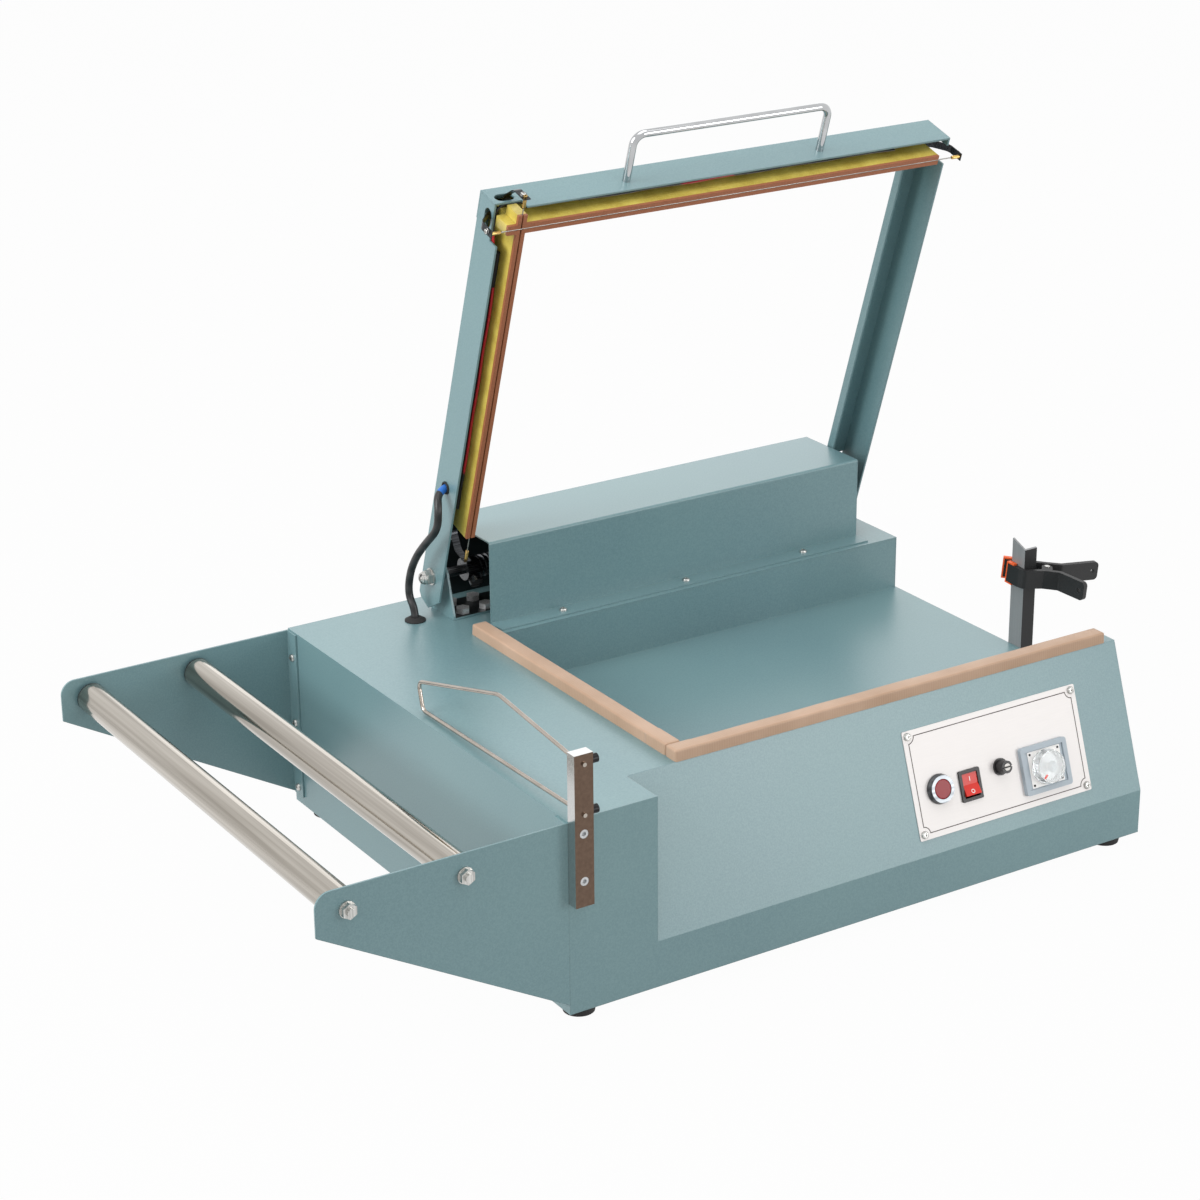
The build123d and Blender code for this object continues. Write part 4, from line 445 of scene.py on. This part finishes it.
# Springs and hinge: torsion springs wound from dark oiled steel wire on a turned shaft that carries the
# sealing frame, held down by zinc-plated bolts.
spring_wire = drawn_metal("oiled_spring_wire", "#8A8C8F", "#3A3B3D", 0.3, 0.0006, 0)
give(spring_wire, "torsion_springs", "clamp_spring")
turned_steel = drawn_metal("oiled_turned_steel", "#77797B", "#3A3B3D", 0.3, 0.0008, 0)
give(turned_steel, "hinge_shaft")
zinc_bolt = drawn_metal("zinc_plated_bolt", "#DDDCD8", "#ABABA8", 0.32, 0.0015, 2)
give(zinc_bolt, "frame_fasteners", "roller_axles", "clamp_pin", "pan_head_screws")

dull_zinc, tree, shader, place = finish("dull_zinc_bolt")
spangle = node(tree, "TexVoronoi", {"Vector": place, "Scale": 1 / 0.002})
zinc_cast = mixed(tree, spangle.outputs["Distance"], "#B9BBBC", "#E4E5E5")
wire(tree, shader, {"Base Color": zinc_cast, "Metallic": 0.55, "Roughness": 0.3})
give(dull_zinc, "hex_bolts")

# Rollers: chromed steel tubes, 30 mm, on black plastic end caps, with lengthwise light and dark bands that
# are polishing lines and also painted reflections. The rocker's bezel, the fuse holder with its cap and the
# micro switch are of the same plastic.
roller_chrome_painted_bands = drawn_metal("chromed_roller_tube", "#CFC9C0", "#99938A", 0.14, 0.007, 1)
give(roller_chrome_painted_bands, "roller_outer", "roller_inner")
cap_plastic = moulded("black_abs", "#262425", "#151414", 0.001, 0.4, 0.0001)
give(cap_plastic, "roller_outer_caps", "roller_inner_caps", "rocker_bezel", "fuse_holder", "fuse_cap")
give(cap_plastic, "micro_switch")

# Film post, film opener and handle: a stainless flat bar whose front face is painted dark brown as a painted
# reflection, a nickel plated rod, and a chromed bow handle. The post's two seat screws are bright, its two
# side screws black.
polished_bar, tree, shader, place = finish("polished_stainless_bar")
rub_marks = node(tree, "TexNoise", {"Vector": place, "Scale": 1 / 0.004, "Detail": 5.0, "Roughness": 0.7})
faces = node(tree, "SeparateXYZ", {"Vector": node(tree, "TexCoord").outputs["Normal"]})
# Painted reflection: faces turned to the front get a dark brown that stands in for the dark reflection in the
# polished steel.
painted_reflection_share = node(tree, "MapRange", {"Value": faces.outputs["Y"], "From Min": -0.6, "From Max": -0.9})
painted_reflection_tone = mixed(tree, rub_marks.outputs[0], "#54443A", "#7C685A")
side_tone = mixed(tree, rub_marks.outputs[0], "#C2C3C3", "#DCDCDA")
bar_tone = mixed(tree, painted_reflection_share.outputs[0], side_tone, painted_reflection_tone)
rubbed = node(tree, "MapRange", {"Value": rub_marks.outputs[0], "To Min": 0.12, "To Max": 0.3})
wire(tree, shader, {"Base Color": bar_tone, "Metallic": 1.0, "Roughness": rubbed.outputs[0]})
give(polished_bar, "film_post")
nickel_rod = plated_rod("nickel_plated_rod", "#C9C1B8", "#A39B92", 0.2)
give(nickel_rod, "film_opener")
bow_chrome = plated_rod("chromed_bow", "#D5D6D7", "#A5A7A9", 0.08)
give(bow_chrome, "handle")
black_oxide = drawn_metal("black_oxide_steel", "#3A3A3B", "#1C1C1D", 0.4, 0.0008, 2)
post_screws, tree, shader, place = finish("post_screws")
along = node(tree, "SeparateXYZ", {"Vector": place})
bright = node(
    tree, "MapRange",
    {"Value": along.outputs["X"], "From Min": at(15, 0, 0).x, "From Max": at(14, 0, 0).x},
)
screw_grain = node(tree, "TexNoise", {"Vector": place, "Scale": 1 / 0.0012, "Detail": 2.0})
black_tone = mixed(tree, screw_grain.outputs[0], "#1C1C1D", "#3A3A3B")
zinc_tone = mixed(tree, screw_grain.outputs[0], "#9DA0A2", "#E2E3E4")
screw_tone = mixed(tree, bright.outputs[0], black_tone, zinc_tone)
wire(tree, shader, {"Base Color": screw_tone, "Metallic": 1.0, "Roughness": 0.3})
give(post_screws, "socket_screws")
lever_strip = drawn_metal("blued_strip_steel", "#4A4C4F", "#1E1F21", 0.3, 0.0009, 0)
give(
    lever_strip, "tension_lever_front_left", "tension_lever_front_right", "tension_lever_left_front",
    "tension_lever_left_rear",
)
give(drawn_metal("resistance_wire", "#B5B2AC", "#807D78", 0.3, 0.0005, 0), "seal_wires")


def on_frame(x, out, above):
    """A place on the open sealing frame: along its hinge, out from it and above it, in millimetres."""
    along, up = math.cos(frame_open), math.sin(frame_open)
    return at(x, hinge_back - out * along + above * up, hinge_level + out * up + above * along)


# Sealing bars: sawn from yellow-green glass epoxy board, whose resin clouds show as darker patches, and
# faced with brown laminate strips that grip the wire.
bar_board, tree, shader, place = finish("glass_epoxy_board")
patches = node(tree, "TexNoise", {"Vector": place, "Scale": 1 / 0.03, "Detail": 5.0, "Roughness": 0.65})
patch_share = node(tree, "MapRange", {"Value": patches.outputs[0], "From Min": 0.35, "From Max": 0.65})
resin = mixed(tree, patch_share.outputs[0], "#B59D3A", "#D8C55A")
fibres = node(tree, "TexNoise", {"Vector": place, "Scale": 1 / 0.0015, "Detail": 2.0})
fibre_share = node(
    tree, "MapRange", {"Value": fibres.outputs[0], "From Min": 0.4, "From Max": 0.8, "To Max": 0.3}
)
board = mixed(tree, fibre_share.outputs[0], resin, "#EBE29C")
board_bump = node(tree, "Bump", {"Height": fibres.outputs[0], "Strength": 0.2, "Distance": 0.0001})
wire(tree, shader, {
    "Base Color": board, "Roughness": 0.32, "IOR": 1.55, "Coat Weight": 0.2,
    "Normal": board_bump.outputs[0],
})
give(bar_board, "seal_bars")
edge_board, tree, shader, place = finish("brown_laminate")
plies = node(tree, "TexNoise", {"Vector": place, "Scale": 1 / 0.0012, "Detail": 3.0})
ply_tone = mixed(tree, plies.outputs[0], "#7E4327", "#B1714C")
ply_bump = node(tree, "Bump", {"Height": plies.outputs[0], "Strength": 0.3, "Distance": 0.0001})
wire(tree, shader, {"Base Color": ply_tone, "Roughness": 0.5, "Normal": ply_bump.outputs[0]})
give(edge_board, "seal_edges")

# Leads in the arms: PVC insulated wires laid in the channels, black with red stretches.
lead_pvc, tree, shader, place = finish("pvc_lead_insulation")
stretch = node(tree, "TexNoise", {"Vector": place, "Scale": 1 / 0.09, "Detail": 0.0})
red_share = node(tree, "MapRange", {"Value": stretch.outputs[0], "From Min": 0.49, "From Max": 0.51})
lead_tone = mixed(tree, red_share.outputs[0], "#1B1A1B", "#C31F2B")
wire(tree, shader, {"Base Color": lead_tone, "Roughness": 0.35})
give(lead_pvc, "arm_leads")


def tube(name, route, radius, material, body):
    """A round lead along a smooth line through given places."""
    curve = bpy.data.curves.new(name, "CURVE")
    curve.dimensions = "3D"
    curve.bevel_depth = radius
    curve.bevel_resolution = 3
    curve.use_fill_caps = True
    line = curve.splines.new("NURBS")
    line.points.add(len(route) - 1)
    for control, spot in zip(line.points, route):
        control.co = (*spot, 1)
    line.order_u = 4
    line.use_endpoint_u = True
    carrier = bpy.data.objects.new(name, curve)
    bpy.context.scene.collection.objects.link(carrier)
    bpy.context.view_layer.update()
    shape = bmesh.new()
    solid = bpy.data.meshes.new_from_object(carrier)
    shape.from_mesh(solid)
    bpy.data.objects.remove(carrier)
    return piece(name, shape, material, body, crease=60)


# Slack leads: two leads lie beside each bar in the gap to the channel's outer wall, a black one that
# fills the gap and a thinner one that shows red in places.
front_black = [on_frame(172 + 30 * step, 431.4, -4.2 - 0.7 * (step % 2)) for step in range(17)]
tube("front_black_lead", front_black, 0.0023, foot_rubber, "sealing_frame")
front_red = [on_frame(235 + 27 * step, 432.8, -6.0 - 1.3 * (step % 3)) for step in range(15)]
tube("front_red_lead", front_red, 0.0015, lead_pvc, "sealing_frame")
side_black = [on_frame(149.8 - 0.4 * (step % 2), 92 + 30 * step, -11.2) for step in range(11)]
tube("side_black_lead", side_black, 0.0023, foot_rubber, "sealing_frame")
side_red = [on_frame(149.5, 120 + 26 * step, -12.8 - 0.9 * (step % 3)) for step in range(10)]
tube("side_red_lead", side_red, 0.0014, lead_pvc, "sealing_frame")

# Lever fittings: each tension lever has a bright pan head screw at its tip and a brass ferrule that
# grips the wire.
brass = drawn_metal("brass_ferrule", "#D9B978", "#B08C4A", 0.25, 0.0008, 0)
tip_radius, tip_height, tip_sunk = 0.0031, 0.0022, 0.0018
crown_depth = 0.0002
wire_reach = 0.0017
front_wire, side_wire = at(410, 325.9, 634.8), at(157.5, 382.1, 466)
out_of_frame = Vector((0, -math.cos(frame_open), math.sin(frame_open)))
for lever, body, outward in (
    ("tension_lever_front_left", "lever_front_left", Vector((-1, 0, 0))),
    ("tension_lever_front_right", "lever_front_right", Vector((1, 0, 0))),
    ("tension_lever_left_front", "lever_left_front", out_of_frame),
    ("tension_lever_left_rear", "lever_left_rear", -out_of_frame),
):
    spots = [vertex.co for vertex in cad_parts[lever].data.vertices]
    furthest = max(spot.dot(outward) for spot in spots)
    crown = [spot for spot in spots if spot.dot(outward) > furthest - crown_depth]
    seat = sum(crown, Vector()) / len(crown)
    turn = outward.to_track_quat("Z", "Y").to_matrix().to_4x4()
    head = bmesh.new()
    cross_head(head, Matrix.Translation(seat - outward * tip_sunk) @ turn, tip_radius, tip_height)
    piece(lever.replace("tension_lever", "tip_screw"), head, zinc_bolt, body)
    on_wire = front_wire if outward.x else side_wire
    gripped = [
        (spot - on_wire).dot(outward) for spot in spots
        if ((spot - on_wire) - outward * (spot - on_wire).dot(outward)).length < wire_reach
    ]
    near, far = min(gripped), max(gripped)
    sleeve = bmesh.new()
    grip = far - near
    profile = [(0.0009, -0.0002), (0.0016, -0.0002), (0.0019, 0.0004), (0.0019, grip), (0.0009, grip)]
    ring(sleeve, Matrix.Translation(on_wire + outward * near) @ turn, profile, 20)
    piece(lever.replace("tension_lever", "ferrule"), sleeve, brass, body)

# Pads under the bars: strips of silicone rubber laid in rails and wrapped by hand in tan PTFE glass cloth
# tape, so the long faces waver a little, and a second turn of tape lies over each one's end at the corner.
tape_weave = 0.0014
tape_slice, tape_edge, tape_dip = 0.006, 0.0001, 0.0003
second_turn_side, second_turn_top = 0.00025, 0.00035
pull_share = 0.03
tape, tree, shader, place = finish("ptfe_glass_cloth_tape")
warp = node(
    tree, "TexWave", {"Vector": place, "Scale": 1 / tape_weave / 6.28, "Distortion": 0.4},
    bands_direction="X",
)
weft = node(
    tree, "TexWave", {"Vector": place, "Scale": 1 / tape_weave / 6.28, "Distortion": 0.4},
    bands_direction="Y",
)
cloth = node(tree, "Math", {0: warp.outputs["Fac"], 1: weft.outputs["Fac"]}, operation="MULTIPLY")
soil = node(tree, "TexNoise", {"Vector": place, "Scale": 1 / 0.05, "Detail": 4.0})
soil_share = node(tree, "MapRange", {"Value": soil.outputs[0], "From Min": 0.3, "From Max": 0.7})
tape_tone = mixed(tree, soil_share.outputs[0], "#A88A72", "#B89A83")
thread_share = node(tree, "MapRange", {"Value": cloth.outputs[0], "To Max": 0.15})
threads = mixed(tree, thread_share.outputs[0], tape_tone, "#C6AE98")
cloth_bump = node(tree, "Bump", {"Height": cloth.outputs[0], "Strength": 0.25, "Distance": tape_weave / 12})
wire(tree, shader, {
    "Base Color": threads, "Roughness": 0.42, "IOR": 1.35, "Sheen Weight": 0.1,
    "Normal": cloth_bump.outputs[0],
})


def taped_pad(name, solid, run, overlap):
    """A wrapped pad in the place of its solid, along axis run; its first overlap metres have two turns."""
    low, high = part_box(solid)
    shape = bmesh.new()
    block(shape, Matrix.Identity(4), low, high)
    top_edges = [
        e for e in shape.edges
        if abs((e.verts[0].co - e.verts[1].co)[run]) > 0.01 and e.verts[0].co.z > (low.z + high.z) / 2
    ]
    end_edges = [
        e for e in shape.edges
        if e not in top_edges and abs((e.verts[0].co - e.verts[1].co)[run]) < 0.001
        and e.verts[0].co.z + e.verts[1].co.z > 2 * low.z + 0.001
    ]
    bmesh.ops.bevel(
        shape, geom=top_edges + end_edges, offset=0.0022, segments=4, affect="EDGES", profile=0.5, material=-1
    )
    length = high[run] - low[run]
    side = Vector((0, 0, 0))
    side[run] = 1
    cuts = [low[run] + step * tape_slice for step in range(1, int(length / tape_slice))]
    lap = low[run] + overlap
    for place in cuts + [lap - tape_edge, lap + tape_edge]:
        cut = low.copy()
        cut[run] = place
        whole = shape.verts[:] + shape.edges[:] + shape.faces[:]
        bmesh.ops.bisect_plane(shape, geom=whole, plane_co=cut, plane_no=side)
    across = 1 - run
    middle = (low + high) / 2
    for vertex in shape.verts:
        if vertex.co.z > low.z + 0.001:
            waver = noise.noise(vertex.co * 30)
            inward = middle[across] - vertex.co[across]
            vertex.co[across] += inward * pull_share * (1 + waver)
            vertex.co.z -= tape_dip * (1 + noise.noise(vertex.co * 22 + Vector((3, 1, 2))))
            if vertex.co[run] > lap:
                vertex.co[across] += math.copysign(second_turn_side, inward)
                vertex.co.z -= second_turn_top
    made = piece(name, shape, tape, "base", crease=60)
    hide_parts(solid)


taped_pad("front_pad_wrapped", "seal_pad_front", 0, 0.026)
taped_pad("left_pad_wrapped", "seal_pad_left", 1, 0.034)

# Control panel: a satin silver printed aluminium plate on the slope, with a thin printed border whose
# corners turn in round the four screws. Places on it are along the cabinet, up the slope and out of it.
slope_foot, slope_run, table_level = 47, 51.5, 193.5
slope = math.atan2(slope_run, table_level - slope_foot)
panel_x, panel_rise, panel_face = 510, 70, 1
half_wide, half_tall, turn_in = 102.5, 48.5, 7.0
rocker_x, rocker_rise, mark_rise = 471.2, 56.1, 6.2
fuse_x, fuse_rise = 510.5, 64.7
timer_x, timer_rise = 563.9, 52.4
dial_level, dial_screw_level, scale_level = 4.02, 4.4, 4.43
panel = Matrix.Translation(at(0, 0, slope_foot)) @ Matrix((
    (1, 0, 0, 0),
    (0, math.sin(slope), -math.cos(slope), 0),
    (0, math.cos(slope), math.sin(slope), 0),
    (0, 0, 0, 1),
))


def on_panel(x, rise, height=0.0):
    """The placement of a piece on the panel, from millimetres, its z pointing out of the panel."""
    return panel @ Matrix.Translation(Vector((x, rise, height)) / 1000)


silver, tree, shader, place = finish("satin_anodised_plate")
rubbed = node(tree, "Mapping", {"Vector": place, "Scale": (1 / 0.02, 1 / 0.0004, 1 / 0.0004)})
rub = node(tree, "TexNoise", {"Vector": rubbed.outputs[0], "Scale": 1.0, "Detail": 3.0})
silver_tone = mixed(tree, rub.outputs[0], "#D6D2D0", "#E0DCDA")
rub_bump = node(tree, "Bump", {"Height": rub.outputs[0], "Strength": 0.08, "Distance": 0.0001})
wire(tree, shader, {
    "Base Color": silver_tone, "Metallic": 0.15, "Roughness": 0.45, "Normal": rub_bump.outputs[0],
})
give(silver, "panel_plate")

print_ink = moulded("printed_border_ink", "#4A413E", "#3C3432", 0.002, 0.5, 0.00002)
border = bmesh.new()
outline = []
for side_x, side_y, first in ((1, 1, 270), (-1, 1, 360), (-1, -1, 90), (1, -1, 180)):
    corner = Vector((side_x * half_wide, side_y * half_tall, 0))
    for step in range(9):
        angle = math.radians(first - step * 90 / 8)
        outline.append(
            border.verts.new((corner + Vector((math.cos(angle), math.sin(angle), 0)) * turn_in) / 1000)
        )
border_face = border.faces.new(outline)
border.normal_update()
bmesh.ops.inset_region(border, faces=[border_face], thickness=0.0009, use_even_offset=True, use_boundary=True)
bmesh.ops.delete(border, geom=[border_face], context="FACES_ONLY")
bmesh.ops.solidify(border, geom=border.faces[:], thickness=0.00008)
piece("panel_border", border, print_ink, "base", on_panel(panel_x, panel_rise, 1.1))

# Push button: a dull red moulded lens in a chromed bezel ring, whose chrome is painted dark grey as a painted
# dark reflection.
bezel_chrome_painted_dark = drawn_metal("chromed_bezel_ring", "#6F7275", "#3E4144", 0.12, 0.004, 0)
give(bezel_chrome_painted_dark, "button_bezel")
red_lens = moulded("red_lens_plastic", "#9C2028", "#7E161D", 0.002, 0.42, 0.00005)
give(red_lens, "button_lens")

# Rocker switch: a glossy red paddle in a black bezel, with the usual bar and ring for on and off.
rocker_red = moulded("red_rocker_plastic", "#D62C1F", "#BE2218", 0.002, 0.34, 0.00003)
give(rocker_red, "rocker")


def seated(solid, x, rise, lift=0.05):
    """The placement on a panel part's own face, straight above a place on the panel."""
    start = on_panel(x, rise, 60)
    outward = start.to_3x3() @ Vector((0, 0, 1))
    hit, point, normal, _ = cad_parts[solid].ray_cast(start.translation, -outward)
    if not hit:
        raise ValueError(f"{solid} is not under {x}, {rise}")
    across = Vector((1, 0, 0))
    upward = normal.cross(across).normalized()
    turn = Matrix((across, upward, normal)).transposed().to_4x4()
    return Matrix.Translation(point + normal * lift / 1000) @ turn


mark_white = moulded("white_mark", "#F2EFEC", "#E6E2DE", 0.002, 0.4, 0.00002)
on_mark = bmesh.new()
block(on_mark, Matrix.Identity(4), (-0.0004, -0.0022, 0), (0.0004, 0.0022, 0.00012))
piece(
    "rocker_on_mark", on_mark, mark_white, "rocker_paddle",
    seated("rocker", rocker_x, rocker_rise + mark_rise),
)
off_mark = bmesh.new()
ring(
    off_mark, Matrix.Identity(4),
    [(0.0014, 0), (0.0014, 0.00012), (0.0021, 0.00012), (0.0021, 0), (0.0014, 0)], 24,
)
piece(
    "rocker_off_mark", off_mark, mark_white, "rocker_paddle",
    seated("rocker", rocker_x, rocker_rise - mark_rise),
)

# Fuse cap: a black bayonet cap with a plated contact showing either side of its slot.
worn_contact = drawn_metal("nickel_contact", "#A9A7A4", "#77746F", 0.4, 0.0008, 0)
contact = bmesh.new()
bmesh.ops.create_circle(contact, cap_ends=True, segments=32, radius=0.0036)
for sign in (-1, 1):
    bmesh.ops.bisect_plane(
        contact, geom=contact.verts[:] + contact.edges[:] + contact.faces[:],
        plane_co=(0, sign * 0.0008, 0), plane_no=(0, 1, 0),
    )
slot_faces = [face for face in contact.faces if abs(face.calc_center_median().y) < 0.0007]
bmesh.ops.delete(contact, geom=slot_faces, context="FACES")
bmesh.ops.solidify(contact, geom=contact.faces[:], thickness=0.0003)
piece(
    "fuse_contact", contact, worn_contact, "fuse_cap",
    seated("fuse_cap", fuse_x, fuse_rise + 3, 0.35) @ Matrix.Translation((0, -0.003, 0)),
)

# Timer: a blue-grey moulded case with a white dial, held by four small screws, under a clear knob with
# a hub and a red pointer.
timer_grey = moulded("grey_moulded_case", "#A6B1B9", "#9AA6AF", 0.0015, 0.4, 0.00008)
give(timer_grey, "timer_case")
dial_white = moulded("printed_dial", "#F4F3F1", "#ECEAE8", 0.003, 0.45, 0.00002)
dial = bmesh.new()
block(dial, Matrix.Identity(4), (-0.0205, -0.0182, 0), (0.0205, 0.0182, 0.0004))
bmesh.ops.bevel(
    dial, geom=[e for e in dial.edges if abs((e.verts[0].co - e.verts[1].co).z) > 0.0003], offset=0.001,
    segments=3, affect="EDGES", profile=0.5, material=-1,
)
piece("timer_dial", dial, dial_white, "base", on_panel(timer_x, timer_rise, dial_level))
marks = bmesh.new()
for step in range(30):
    turn = Matrix.Rotation(math.radians(-225 + step * 9.3), 4, "Z")
    reach = 0.0128 if step % 5 else 0.0118
    block(marks, turn, (reach, -0.00015, 0), (0.0148, 0.00015, 0.00008))
piece("timer_scale", marks, print_ink, "base", on_panel(timer_x, timer_rise, scale_level))
dial_screws = bmesh.new()
for side_x in (-1, 1):
    for side_y in (-1, 1):
        spot = Matrix.Translation((side_x * 0.0178, side_y * 0.0155, 0))
        ring(dial_screws, spot, [(0, 0.0007), (0.0008, 0.0007), (0.0012, 0.0004), (0.0012, 0)], 16)
piece(
    "timer_dial_screws", dial_screws, black_oxide, "base",
    on_panel(timer_x, timer_rise, dial_screw_level),
)

clear, tree, shader, place = finish("clear_acrylic")
swirl = node(tree, "TexNoise", {"Vector": place, "Scale": 1 / 0.006, "Detail": 2.0})
haze = node(tree, "MapRange", {"Value": swirl.outputs[0], "To Min": 0.04, "To Max": 0.09})
wire(tree, shader, {
    "Base Color": linear("#F4F7F8"), "Roughness": haze.outputs[0], "IOR": 1.35, "Transmission Weight": 0.92,
})
give(clear, "timer_knob")
hub = bmesh.new()
ring(hub, Matrix.Identity(4), [(0, 0.0008), (0.0052, 0.0008), (0.0058, 0.0004), (0.0058, 0)], 40)
piece("timer_knob_hub", hub, clear, "timer_knob", seated("timer_knob", timer_x, timer_rise))
pointer_red = moulded("red_pointer", "#E23A22", "#D0301A", 0.002, 0.3, 0.00002)
pointer = bmesh.new()
tip_turn = Matrix.Rotation(math.radians(218), 4, "Z")
block(pointer, tip_turn, (0.0105, -0.0010, 0), (0.0155, 0.0010, 0.0005))
piece(
    "timer_pointer", pointer, pointer_red, "timer_knob",
    seated("timer_knob", timer_x, timer_rise),
)

# Clamp and its post: a folded steel angle that is black on its front faces, gripped by a black nylon
# spring clamp with soft orange jaw pads.
post_steel, tree, shader, place = finish("brushed_steel_angle")
post_lines = node(tree, "Mapping", {"Vector": place, "Scale": (1 / 0.0012, 1 / 0.0012, 1 / 0.1)})
post_brush = node(tree, "TexNoise", {"Vector": post_lines.outputs[0], "Scale": 1.0, "Detail": 3.0})
post_bare = mixed(tree, post_brush.outputs[0], "#848587", "#9C9D9E")
post_faces = node(tree, "SeparateXYZ", {"Vector": node(tree, "TexCoord").outputs["Normal"]})
post_front = node(tree, "MapRange", {"Value": post_faces.outputs["Y"], "From Min": -0.6, "From Max": -0.9})
post_tone = mixed(tree, post_front.outputs[0], post_bare, "#161617")
wire(tree, shader, {"Base Color": post_tone, "Metallic": 0.25, "Roughness": 0.45})
give(post_steel, "clamp_post")
give(nylon, "clamp_arm_front", "clamp_arm_rear")
give(
    moulded("orange_soft_rubber", "#F06428", "#D4521C", 0.0012, 0.5, 0.0001), "clamp_shoe_front",
    "clamp_shoe_rear",
)

# Pan head screws: zinc plated, 8 mm heads with a cross recess, on the panel's corners, the rack plates'
# flanges, the spring cover's flanges, the clamp post's foot and under the rubber feet.
facing_left = Matrix.Rotation(math.radians(-90), 4, "Y")
facing_right = Matrix.Rotation(math.radians(90), 4, "Y")
facing_down = Matrix.Rotation(math.radians(180), 4, "X")
screw_places = [
    on_panel(panel_x + side * half_wide, panel_rise + rise * half_tall, panel_face)
    for side in (-1, 1) for rise in (-1, 1)
]
screw_places += [
    Matrix.Translation(at(-2, y, z)) @ facing_left for y in (11, 531) for z in (19.1, 91.9, 164.7)
]
screw_places += [Matrix.Translation(at(x, y, 195)) for x in (258.4, 411.7, 565) for y in (424.25, 536.5)]
screw_places += [Matrix.Translation(at(682, 204, z)) @ facing_right for z in (65, 110)]
screw_places += [Matrix.Translation(at(x, y, -7)) @ facing_down for x in (24, 656) for y in (24, 518)]
heads = bmesh.new()
for screw_place in screw_places:
    cross_head(heads, screw_place, 0.004, 0.0026)
screw_heads = piece("cross_recessed_screws", heads, zinc_bolt, "base")
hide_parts("pan_head_screws")
